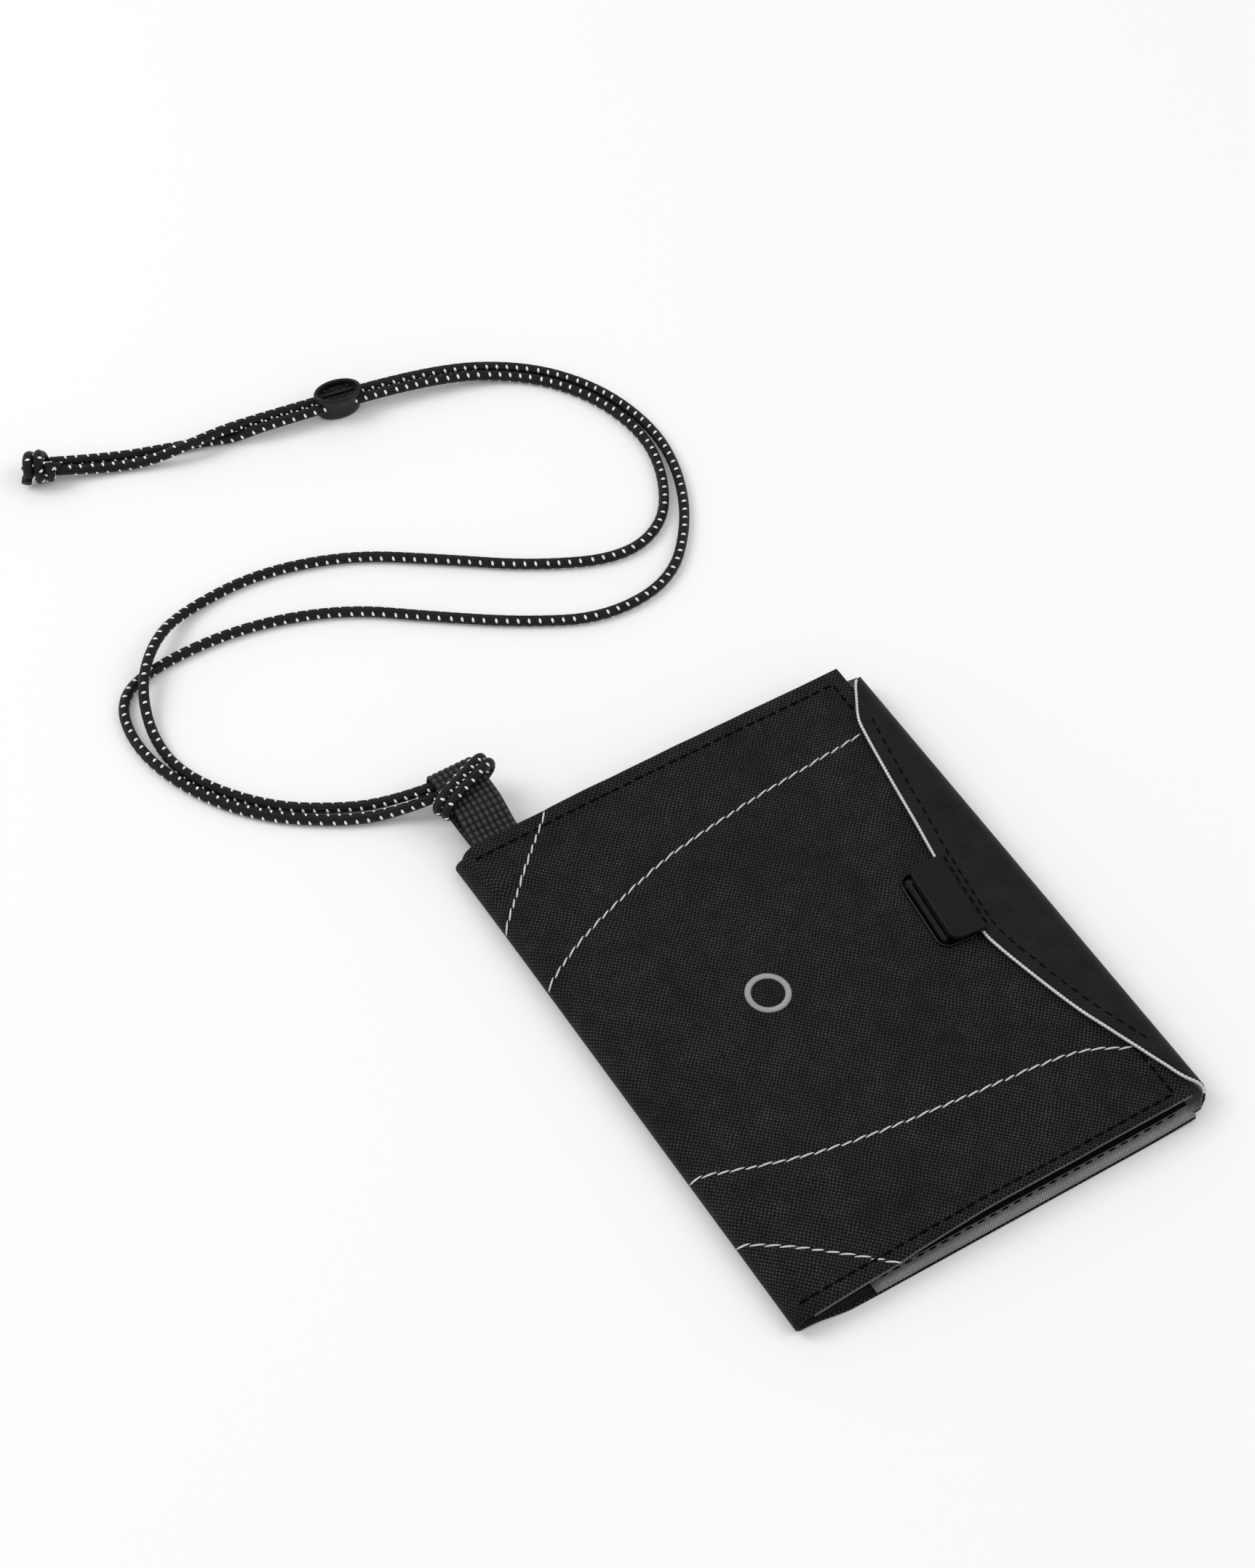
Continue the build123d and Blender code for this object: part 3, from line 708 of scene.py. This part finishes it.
silver_top = back_gap + LINING_T * 1.5 + 0.03
row_y = -TOP_Y + 1.75
row = straight((low("back_stitching").x, row_y), (high("back_stitching").x, row_y))
back_verts, back_faces = merge(stitch_row(row, lambda x, y: back_height(x, y) + silver_top,
                                          FINE_STITCH))
back_stitches = make("back_stitches", back_verts, back_faces, BLACK_THREAD)
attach(back_stitches, "pouch")
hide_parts("back_stitching")


# ---- Flap: one cloth from the back, round the fold and over the cover ---------
FOLD_MID = FOLD_R - FLAP_T / 2
ARC = math.pi * FOLD_MID
FOLD_LIFT = 0.8      # of the cloth's lower corner off the table
# Places up the flap and, at each, the cloth's length from the back's edge to its free edge.
REACH = catmull([(-68.4, 1.5, 0), (-66.6, 6.0, 0), (-63.9, 11.0, 0), (-58.1, 13.4, 0),
                 (-51.4, 15.7, 0), (-44.8, 18.0, 0), (-37.2, 20.6, 0), (-25.7, 23.4, 0),
                 (-15.3, 25.6, 0), (-9.6, 26.2, 0), (1.0, 25.1, 0), (12.3, 23.7, 0),
                 (23.4, 21.8, 0), (37.7, 19.5, 0), (49.7, 17.4, 0), (53.5, 16.3, 0),
                 (57.9, 13.8, 0), (62.6, 10.7, 0), (65.7, 6.2, 0), (68.4, 1.5, 0)], 10)


def reach(y):
    """Length of the flap's cloth from the back's edge to its free edge."""
    for a, b in zip(REACH, REACH[1:]):
        if a.x <= y <= b.x:
            return a.y + (b.y - a.y) * (y - a.x) / max(1e-6, b.x - a.x)
    return REACH[0].y


def flap_point(y, s, inside=0.0):
    """Place on the flap's cloth at a distance s along it; inside moves towards the pouch."""
    r = FOLD_MID - inside
    if s < ARC:
        a = -math.pi / 2 + s / FOLD_MID
        lift = FOLD_LIFT * math.exp(-(y + TOP_Y) / CORNER_FADE) * (1 - s / ARC) ** 2
        return Vector((PANEL_RIGHT + r * math.cos(a), y, FOLD_R + r * math.sin(a) + lift))
    x = PANEL_RIGHT - (s - ARC)
    wave = ripple(x, y, 22, 0.30, 11.0) * smooth((s - ARC) / 6) * smooth((abs(y - 1) - 11) / 8)
    return Vector((x, y, FOLD_R + r + wave))


def flap_sheet(inside, extra):
    """Point function of a flap cloth, moved in towards the pouch and longer by extra."""
    half = TOP_Y - 0.3

    def point(i, j):
        y = half * (2 * i - 1)
        s = j * (reach(y) + extra)
        return tuple(flap_point(y, s, inside)), (s, y)
    return point


def hinged(obj):
    """Bake the transform of a cloth that runs from the pouch round the crease onto the flap."""
    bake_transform(obj)


flap = cloth("flap_cloth_sheet", flap_sheet(0.0, 0.0), int(136 / GRAIN), int(27 / (GRAIN * 0.8)),
             FLAP_T, FLAP_CLOTH)
hinged(flap)
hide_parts("flap_shell", "fold_strip")
flap_inner = cloth("flap_lining_cloth", flap_sheet(FLAP_T / 2 + LINING_T / 2 + 0.03, 0.55),
                   int(136 / 1.6), 20, LINING_T, SILVER)
hinged(flap_inner)
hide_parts("flap_lining")


def flap_line(y0, y1, count, further, inside=0.0):
    """Line beside the flap's free edge, this much further out."""
    heights = (y0 + (y1 - y0) * k / count for k in range(count + 1))
    return [flap_point(y, reach(y) + further, inside) for y in heights]


EDGING_R = 0.29
EDGING_BEAD = 0.15
EDGING_PITCH = 0.85
EDGING_SIDES = 8


def edging_tube(line):
    """Edging cord with a small bead at each stitch."""
    points = resample(line, 0.22)
    axes = frames([p for p, _ in points])
    verts, uvs = [], []
    for (p, d), (_, side, up) in zip(points, axes):
        r = EDGING_R + EDGING_BEAD * abs(math.sin(math.pi * d / EDGING_PITCH))
        for k in range(EDGING_SIDES):
            a = 2 * math.pi * k / EDGING_SIDES
            verts.append(tuple(p + side * (r * math.cos(a)) + up * (r * math.sin(a))))
            uvs.append((d, a * EDGING_R))
    return verts, tube_faces(len(points), EDGING_SIDES), uvs


edge_verts, edge_faces, edge_uvs = edging_tube(flap_line(-66.8, 63.0, 260, 0.35, 0.2))
flap_edging = make("flap_edging", edge_verts, edge_faces, EDGING, edge_uvs)
hinged(flap_edging)


def flap_stitches(inset, y0, y1):
    step, *size = FINE_STITCH
    points = resample(flap_line(y0, y1, 200, -inset), step)
    rise = UP * (FLAP_T / 2 + 0.03)
    return [capsule((a + b) / 2 + rise, b - a, UP, *size, 8, 7)
            for (a, _), (b, _) in zip(points, points[1:])]


flap_rows = flap_stitches(2.6, -52, 52) + flap_stitches(1.3, -9.5, 11.5)
flap_stitch_verts, flap_stitch_faces = merge(flap_rows)
flap_stitching = make("flap_stitches", flap_stitch_verts, flap_stitch_faces, BLACK_THREAD)
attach(flap_stitching, "flap")
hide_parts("flap_stitching")


# ---- Catch: tab on the flap, base on the cover --------------------------------
FRONT_TURN = math.radians(180 - 5.87)
MAGNET_LOCAL_X = 3.5
magnet_mid = (low("tab_magnet") + high("tab_magnet")) / 2
FRONT_MID = Vector((magnet_mid.x - math.cos(FRONT_TURN) * MAGNET_LOCAL_X,
                    magnet_mid.y - math.sin(FRONT_TURN) * MAGNET_LOCAL_X))
TAB_Z = low("tab_magnet").z
TAB_TOP = high("catch_tab").z
BASE_Z = COVER_TOP
CATCH_SHIFT = 0.5    # along the catch's front edge, from the CAD catch
CORNER_STEPS = 7
# Outlines in the catch's frame: from x, to x, half width, near and far corner radius.
TAB = (-0.15, 7.9, 10.8, 0.6, 2.4)
TAB_LIP = (7.16, 7.84, 8.6, 0.3, 0.3)
BASE = (0.6, 10.5, 10.6, 2.0, 2.8)
BASE_BLOCK = (1.2, 6.6, 9.1, 1.2, 1.4)


def at_catch(x, y, z):
    """Place in the catch's own frame: +x away from the flap, +y along its front edge."""
    c, s = math.cos(FRONT_TURN), math.sin(FRONT_TURN)
    y += CATCH_SHIFT
    return (FRONT_MID.x + c * x - s * y, FRONT_MID.y + s * x + c * y, z)


def rounded(x0, x1, half, near, far, inset, z):
    """Outline with one radius at the near corners and one at the far ones, moved in by inset."""
    points = []
    x0, x1, half = x0 + inset, x1 - inset, half - inset
    for cx, cy, radius, start in ((x1, half, far, 0), (x0, half, near, 90),
                                  (x0, -half, near, 180), (x1, -half, far, 270)):
        r = max(0.05, radius - inset)
        ox = cx - r if cx == x1 else cx + r
        oy = cy - r if cy > 0 else cy + r
        for k in range(CORNER_STEPS + 1):
            a = math.radians(start + 90 * k / CORNER_STEPS)
            points.append(at_catch(ox + r * math.cos(a), oy + r * math.sin(a), z))
    return points


def outline_of(shape):
    """The shape's outline as a function of how far it is moved in and up."""
    return lambda inset, z: rounded(*shape, inset, z)


def stack(name, profile, outline, material, slot, body, *nodes):
    """Solid whose outline moves in and up through the profile's (inset, z) pairs."""
    outlines = [outline(inset, z) for inset, z in profile]
    verts = [p for points in outlines for p in points]
    obj = make(name, verts, tube_faces(len(outlines), len(outlines[0])), material)
    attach(obj, body)
    if nodes:
        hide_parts(*nodes)
    return obj


TAB_PROFILE = [(0.35, TAB_Z + 0.02), (0.10, TAB_Z + 0.10), (0.0, TAB_Z + 0.26), (0.0, TAB_TOP - 0.50),
               (0.05, TAB_TOP - 0.28), (0.20, TAB_TOP - 0.11), (0.42, TAB_TOP - 0.02),
               (0.62, TAB_TOP), (1.4, TAB_TOP - 0.03), (2.6, TAB_TOP - 0.05)]
stack("catch_tab_moulding", TAB_PROFILE, outline_of(TAB), MATT, "matte_black", "flap", "catch_tab")
stack("catch_tab_lip", [(0.2, TAB_Z - 0.78), (0.0, TAB_Z - 0.6), (0.0, TAB_Z + 0.3)],
      outline_of(TAB_LIP), MATT, "matte_black", "flap")
BASE_PROFILE = [(0.15, BASE_Z + 0.0), (0.0, BASE_Z + 0.12), (0.0, BASE_Z + 0.42), (0.08, BASE_Z + 0.58),
                (0.26, BASE_Z + 0.64), (0.48, BASE_Z + 0.56), (0.60, BASE_Z + 0.36),
                (0.85, BASE_Z + 0.22), (2.2, BASE_Z + 0.22), (2.35, BASE_Z + 0.32), (2.6, BASE_Z + 0.34)]
stack("catch_base_plate", BASE_PROFILE, outline_of(BASE), GLOSS, "gloss_black", "pouch", "catch_base")
stack("catch_base_block", [(0.0, BASE_Z + 0.3), (0.0, BASE_Z + 1.10), (0.10, BASE_Z + 1.24),
                           (0.28, BASE_Z + 1.29)],
      outline_of(BASE_BLOCK), GLOSS, "gloss_black", "pouch")
recolour("base_magnet", MAGNET)
recolour("tab_magnet", MAGNET)
recolour("catch_backplate", MATT)


# ---- Emblem: a plain ring in satin stitch --------------------------------------
ring_mid = (low("emblem") + high("emblem")) / 2
RING_BAND = 1.7
RING_R = (high("emblem").x - low("emblem").x - RING_BAND) / 2
SATIN_STEP = 0.23
SATIN_LEAN = 0.3


def satin_ring():
    """Threads laid side by side across the band, all leaning the same way."""
    count = round(2 * math.pi * RING_R / SATIN_STEP)
    parts = []
    for k in range(count):
        out = Matrix.Rotation(2 * math.pi * k / count, 3, "Z") @ Vector((1, 0, 0))
        x, y = ring_mid.x + RING_R * out.x, ring_mid.y + RING_R * out.y
        centre = Vector((x, y, cover_height(x, y) + SHELL_T / 2 + 0.10))
        across = Matrix.Rotation(SATIN_LEAN, 3, "Z") @ out
        parts.append(capsule(centre, across, UP, RING_BAND, 0.30, 0.46, 6, 7))
    return merge(parts)


ring_verts, ring_faces = satin_ring()
emblem = make("ring_embroidery", ring_verts, ring_faces, EMBLEM_THREAD)
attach(emblem, "pouch")
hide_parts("emblem")


# ---- Webbing loop ------------------------------------------------------------
WEB_TIP = high("webbing_loop").y
WEB_TOP = high("webbing_loop").z - 0.5
WEB_LOW = low("webbing_loop").z + 0.5
WEB_HALF_T = 0.5
WEB_LINE = catmull([(0, TOP_Y - 9, 5.85), (0, TOP_Y - 1, 5.85), (0, TOP_Y + 2.6, 6.3),
                    (0, TOP_Y + 6.0, 7.9), (0, TOP_Y + 9.5, WEB_TOP - 0.15),
                    (0, WEB_TIP - 4.6, WEB_TOP), (0, WEB_TIP - 2.0, WEB_TOP - 0.35),
                    (0, WEB_TIP - 0.72, 7.6), (0, WEB_TIP - 0.68, 6.0),
                    (0, WEB_TIP - 1.9, WEB_LOW + 0.5), (0, WEB_TIP - 4.6, WEB_LOW),
                    (0, TOP_Y + 9.0, WEB_LOW), (0, TOP_Y + 4.0, 4.45), (0, TOP_Y, 4.75),
                    (0, TOP_Y - 9, 4.75)], 16)


def nub(d, v):
    """Height from 0 to 1 of the knobbly weave, at a distance along and across the strap."""
    row = abs(math.sin(math.pi * d / RIB_ALONG))
    column = abs(math.sin(math.pi * (v + WEB_HALF) / RIB_ACROSS))
    return (row * column) ** 0.7


def webbing_strap():
    """Strap with its knobbly weave in the mesh on both faces."""
    points = resample(WEB_LINE, RIB_ALONG / 6)
    axes = frames([p for p, _ in points])
    columns = 48
    verts, uvs = [], []
    for (p, d), (tangent, _, _) in zip(points, axes):
        out = Vector((1, 0, 0)).cross(tangent).normalized()
        for side in (1, -1):
            for k in range(columns + 1):
                v = (-1 + 2 * k / columns) * WEB_HALF * side
                edge = smooth((WEB_HALF - abs(v)) / 0.4)
                h = (WEB_HALF_T * (0.4 + 0.6 * edge) - 0.16 + 0.28 * nub(d, v) * edge) * side
                verts.append(tuple(p + Vector((WEB_MID + v, 0, 0)) + out * h))
                uvs.append((d, v + WEB_HALF))
    return verts, tube_faces(len(points), 2 * (columns + 1)), uvs


web_verts, web_faces, web_uvs = webbing_strap()
webbing = make("webbing_strap", web_verts, web_faces, WEBBING, web_uvs)
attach(webbing, "pouch")
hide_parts("webbing_loop")


# ---- Neck cord ---------------------------------------------------------------
# As far as the lock these are part.py's points, in metres. Beyond it the strands cross.
INNER_ROUTE = [
    (-0.04875, 0.0893, 0.0052), (-0.0550, 0.0923, 0.0023), (-0.0645, 0.0965, 0.0013),
    (-0.0795, 0.1063, 0.0013), (-0.0910, 0.1230, 0.0013), (-0.0923, 0.1370, 0.0013),
    (-0.0880, 0.1505, 0.0044), (-0.0785, 0.1610, 0.0044), (-0.0670, 0.1670, 0.0013),
    (-0.0480, 0.1680, 0.0013), (-0.0270, 0.1615, 0.0013), (-0.0100, 0.1495, 0.0013),
    (0.0080, 0.1360, 0.0013), (0.0270, 0.1270, 0.0013), (0.0410, 0.1310, 0.0013),
    (0.0493, 0.1445, 0.0013), (0.0521, 0.1590, 0.0013), (0.0479, 0.1760, 0.0013),
    (0.0370, 0.1905, 0.0013), (0.01768, 0.19877, 0.00375), (-0.02565, 0.20641, 0.00375),
    (-0.0325, 0.2086, 0.0014), (-0.0385, 0.2112, 0.0013), (-0.0470, 0.2139, 0.0013),
    (-0.0605, 0.2183, 0.0013), (-0.0745, 0.2232, 0.0034),
]
OUTER_ROUTE = [
    (-0.04875, 0.0863, 0.0052), (-0.0555, 0.0889, 0.0023), (-0.0660, 0.0932, 0.0013),
    (-0.0815, 0.1040, 0.0013), (-0.0920, 0.1190, 0.0013), (-0.0970, 0.1370, 0.0013),
    (-0.0930, 0.1525, 0.0013), (-0.0775, 0.1560, 0.0013), (-0.0570, 0.1550, 0.0013),
    (-0.0360, 0.1475, 0.0013), (-0.0200, 0.1350, 0.0013), (-0.0030, 0.1225, 0.0013),
    (0.0140, 0.1135, 0.0013), (0.0330, 0.1150, 0.0013), (0.0455, 0.1280, 0.0013),
    (0.0529, 0.1435, 0.0013), (0.0551, 0.1592, 0.0013), (0.0506, 0.1774, 0.0013),
    (0.0388, 0.1929, 0.0013), (0.01817, 0.20153, 0.00375), (-0.02516, 0.20917, 0.00375),
    (-0.0355, 0.2101, 0.0042), (-0.0450, 0.2101, 0.0042), (-0.0530, 0.2121, 0.0020),
    (-0.0620, 0.2155, 0.0013), (-0.0745, 0.2201, 0.0034),
]


def on_table(verts):
    """Points below the table pressed up to it."""
    return [(x, y, max(0.0, z)) for x, y, z in verts]


def cord_pieces(name, lines, *nodes):
    """Sheath and flecks for stretches of cord, on the pouch."""
    sheaths, uvs, flecks = [], [], []
    for line in lines:
        (verts, faces, uv), fleck = cord_tube(line)
        sheaths.append((verts, faces))
        uvs += uv
        flecks.append(fleck)
    verts, faces = merge(sheaths)
    sheath = make(name, on_table(verts), faces, CORD, uvs)
    fleck_verts, fleck_faces = merge(flecks)
    marks = make(name + "_flecks", on_table(fleck_verts), fleck_faces, FLECK)
    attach(sheath, "pouch")
    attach(marks, "pouch")
    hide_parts(*nodes)
    return sheath, marks


inner_line = nurbs([tuple(c / MM for c in p) for p in INNER_ROUTE])
outer_line = nurbs([tuple(c / MM for c in p) for p in OUTER_ROUTE])
inner, inner_marks = cord_pieces("cord_inner", [inner_line], "cord_strand_inner")
outer_strand, outer_marks = cord_pieces("cord_outer", [outer_line], "cord_strand_outer")

# Hitch: two wraps side by side round the webbing's upper layer, slanting up to the right.
HITCH_AXIS = Vector((0.919, 0.394, 0))
HITCH_SIDE = Vector((-0.394, 0.919, 0))
HITCH_UP = 14.4      # from the pouch's top edge
HITCH_APART = 1.15   # each wrap from the middle of the hitch
HITCH_HALF = WEB_HALF / HITCH_AXIS.x + CORD_R - 0.3
HITCH_RISE = WEB_HALF_T + CORD_R + 0.12


def hitch_wrap(offset):
    centre = Vector((WEB_MID, TOP_Y + HITCH_UP, WEB_TOP)) + HITCH_SIDE * offset
    half = HITCH_HALF
    loop = [(-half * 0.6, HITCH_RISE), (half * 0.2, HITCH_RISE + 0.1), (half * 0.75, HITCH_RISE),
            (half + 0.45, HITCH_RISE * 0.55), (half + 0.55, -HITCH_RISE * 0.5),
            (half * 0.7, -HITCH_RISE), (0, -HITCH_RISE), (-half * 0.7, -HITCH_RISE),
            (-half - 0.6, -HITCH_RISE * 0.9), (-half - 0.7, HITCH_RISE * 0.3),
            (-half * 0.75, HITCH_RISE), (-half * 0.55, HITCH_RISE)]
    return catmull([tuple(centre + HITCH_AXIS * a + UP * b) for a, b in loop], 10)


def hitch_lead(start):
    """Cord from under the wraps to where a strand starts."""
    end = Vector(start) / MM
    return catmull([(-41.5, end.y - 2.6, 6.6), (-45.0, end.y - 1.2, 6.2), tuple(end),
                    (end.x - 0.6, end.y + 0.25, end.z - 0.3)], 8)


hitch, hitch_marks = cord_pieces(
    "cord_hitch_wraps", [hitch_wrap(-HITCH_APART), hitch_wrap(HITCH_APART),
                         hitch_lead(INNER_ROUTE[0]), hitch_lead(OUTER_ROUTE[0])], "cord_hitch")

# Knot: wraps round the ends of the strands, and a cut tail.
KNOT_MID = (low("cord_knot") + high("cord_knot")) / 2
KNOT_AXIS = Vector((math.cos(math.radians(158)), math.sin(math.radians(158)), 0))
KNOT_SIDE = Vector((-KNOT_AXIS.y, KNOT_AXIS.x, 0))
KNOT_Z = 4.35
KNOT_BACK = 1.3      # towards the strands from the middle of the CAD knot
KNOT_R = 2.65
KNOT_START = -2.7
KNOT_PITCH = 2.45
TURN_POINTS = 12


def knot_place(along, side, up):
    """Place in the knot's own frame: along the strands, to their side, and up."""
    return tuple(Vector((KNOT_MID.x, KNOT_MID.y, KNOT_Z)) - KNOT_AXIS * KNOT_BACK
                 + KNOT_AXIS * along + KNOT_SIDE * side + UP * up)


def knot_wraps():
    """A coil of a little over two turns round the ends of the strands."""
    points = []
    for k in range(2 * TURN_POINTS + 3):
        turn = k / TURN_POINTS
        a = 2 * math.pi * turn + 0.5
        r = KNOT_R + 0.25 * math.sin(math.pi * min(1.0, turn / 2.2))
        lean = 0.5 * math.cos(a)
        along = KNOT_START + KNOT_PITCH * turn + lean
        points.append(knot_place(along, r * math.sin(a), r * math.cos(a)))
    return catmull(points, 5)


knot_core = catmull([knot_place(-5.0, 0.6, -0.6), knot_place(-1.0, 0.3, 0.2), knot_place(2.4, -0.2, 0.2),
                     knot_place(3.3, 0.2, -0.6)], 10)
knot_tail = catmull([knot_place(1.2, 0.0, -0.6), knot_place(3.0, 1.1, -1.7),
                     knot_place(3.5, 2.7, -2.3)], 10)
knot, knot_marks = cord_pieces("cord_knot_wraps", [knot_wraps(), knot_core, knot_tail], "cord_knot")


# ---- Cord lock ---------------------------------------------------------------
LOCK_TURN = math.radians(-10)
LOCK_MID = (low("cord_lock_body") + high("cord_lock_body")) / 2
LOCK_A = 5.9         # half the collar's length
LOCK_B = 3.75        # and half its width
LOCK_STEPS = 72
NUB_SIZE = (0.95, 0.95, 0.7)
BAR_SIZE = (8.6, 0.95, 0.62)
LOCK_TOP = high("cord_lock_body").z


def at_lock(x, y, z):
    c, s = math.cos(LOCK_TURN), math.sin(LOCK_TURN)
    return (LOCK_MID.x + c * x - s * y, LOCK_MID.y + s * x + c * y, z)


def oval(inset, z):
    """Outline of the lock, moved in by inset from its collar."""
    turns = [2 * math.pi * k / LOCK_STEPS for k in range(LOCK_STEPS)]
    return [at_lock((LOCK_A - inset) * math.cos(a), (LOCK_B - inset) * math.sin(a), z)
            for a in turns]


# Up the outside, over the rim and down inside: (inset, z) pairs.
LOCK_CUP = [(1.7, 0.02), (1.2, 0.08), (0.82, 0.35), (0.60, 0.9), (0.50, 2.0), (0.45, 3.6),
            (0.42, LOCK_TOP - 2.1), (0.36, LOCK_TOP - 1.86), (0.52, LOCK_TOP - 1.74),
            (0.10, LOCK_TOP - 1.60), (-0.05, LOCK_TOP - 1.35), (-0.05, LOCK_TOP - 0.75),
            (0.06, LOCK_TOP - 0.30), (0.30, LOCK_TOP - 0.06), (0.62, LOCK_TOP),
            (0.86, LOCK_TOP - 0.08), (0.94, LOCK_TOP - 0.3), (0.94, 0.6)]
lock_cup = stack("lock_cup", LOCK_CUP, oval, LOCK_PLASTIC, "lock_plastic", "lock", "cord_lock_body")
# The plunger's pan takes the darker plastic as painted shade in the recess.
recolour("cord_lock_plunger", RECESS_SHADE)
recolour("cord_lock_spring", STEEL)

PAN_Z = high("cord_lock_plunger").z
nub_parts = [capsule(Vector(at_lock(x, y, PAN_Z - 0.25)), Vector((1, 0, 0)), UP,
                     *NUB_SIZE, 12, 9)
             for x in (-2.9, -1.0, 1.0, 2.9) for y in (-1.5, 1.5)]
nub_verts, nub_faces = merge(nub_parts)
lock_nubs = make("lock_nubs", nub_verts, nub_faces, LOCK_PLASTIC)
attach(lock_nubs, "plunger")
bar_way = Vector((math.cos(LOCK_TURN), math.sin(LOCK_TURN), 0))
bar_verts, bar_faces = capsule(Vector(at_lock(0, 0, PAN_Z - 0.02)), bar_way, UP, *BAR_SIZE,
                               12, 15)
lock_bar = make("lock_bar", bar_verts, bar_faces, LOCK_PLASTIC)
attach(lock_bar, "plunger")


# ---- Camera, light and floor -------------------------------------------------
scene = bpy.context.scene
camera_data = bpy.data.cameras.new("camera")
camera_data.sensor_fit = "VERTICAL"
camera_data.sensor_height = 36.0
camera_data.lens = 91.84
camera_data.clip_end = 20
camera = bpy.data.objects.new("camera", camera_data)
camera.location = (-0.29597, -0.39780, 0.71443)
camera.rotation_euler = Vector((0.3207, 0.5190, -0.7923)).to_track_quat("-Z", "Y").to_euler()
scene.collection.objects.link(camera)
scene.camera = camera

floor_mesh = bpy.data.meshes.new("floor")
floor_mesh.from_pydata([(-4, -4, 0), (4, -4, 0), (4, 4, 0), (-4, 4, 0)], [], [(0, 1, 2, 3)])
floor = bpy.data.objects.new("floor", floor_mesh)
scene.collection.objects.link(floor)
floor_material = bpy.data.materials.new("floor_white")
floor_material.use_nodes = True
floor_shader = floor_material.node_tree.nodes["Principled BSDF"]
floor_shader.inputs["Base Color"].default_value = (0.9, 0.9, 0.9, 1)
floor_shader.inputs["Roughness"].default_value = 0.9
floor_mesh.materials.append(floor_material)

world = bpy.data.worlds.new("studio")
scene.world = world
world.use_nodes = True
world.node_tree.nodes["Background"].inputs[0].default_value = (1, 1, 1, 1)
world.node_tree.nodes["Background"].inputs[1].default_value = 0.75


def area_light(name, place, size, energy):
    data = bpy.data.lights.new(name, "AREA")
    data.shape = "DISK"
    data.size = size
    data.energy = energy
    light = bpy.data.objects.new(name, data)
    light.location = place
    light.rotation_euler = (Vector((0, 0.05, 0)) - Vector(place)).to_track_quat("-Z", "Y").to_euler()
    scene.collection.objects.link(light)


area_light("key", (-0.9, 0.9, 1.3), 1.0, 11)
area_light("fill", (0.9, -0.6, 1.2), 1.2, 4)
scene.view_settings.view_transform = "Standard"
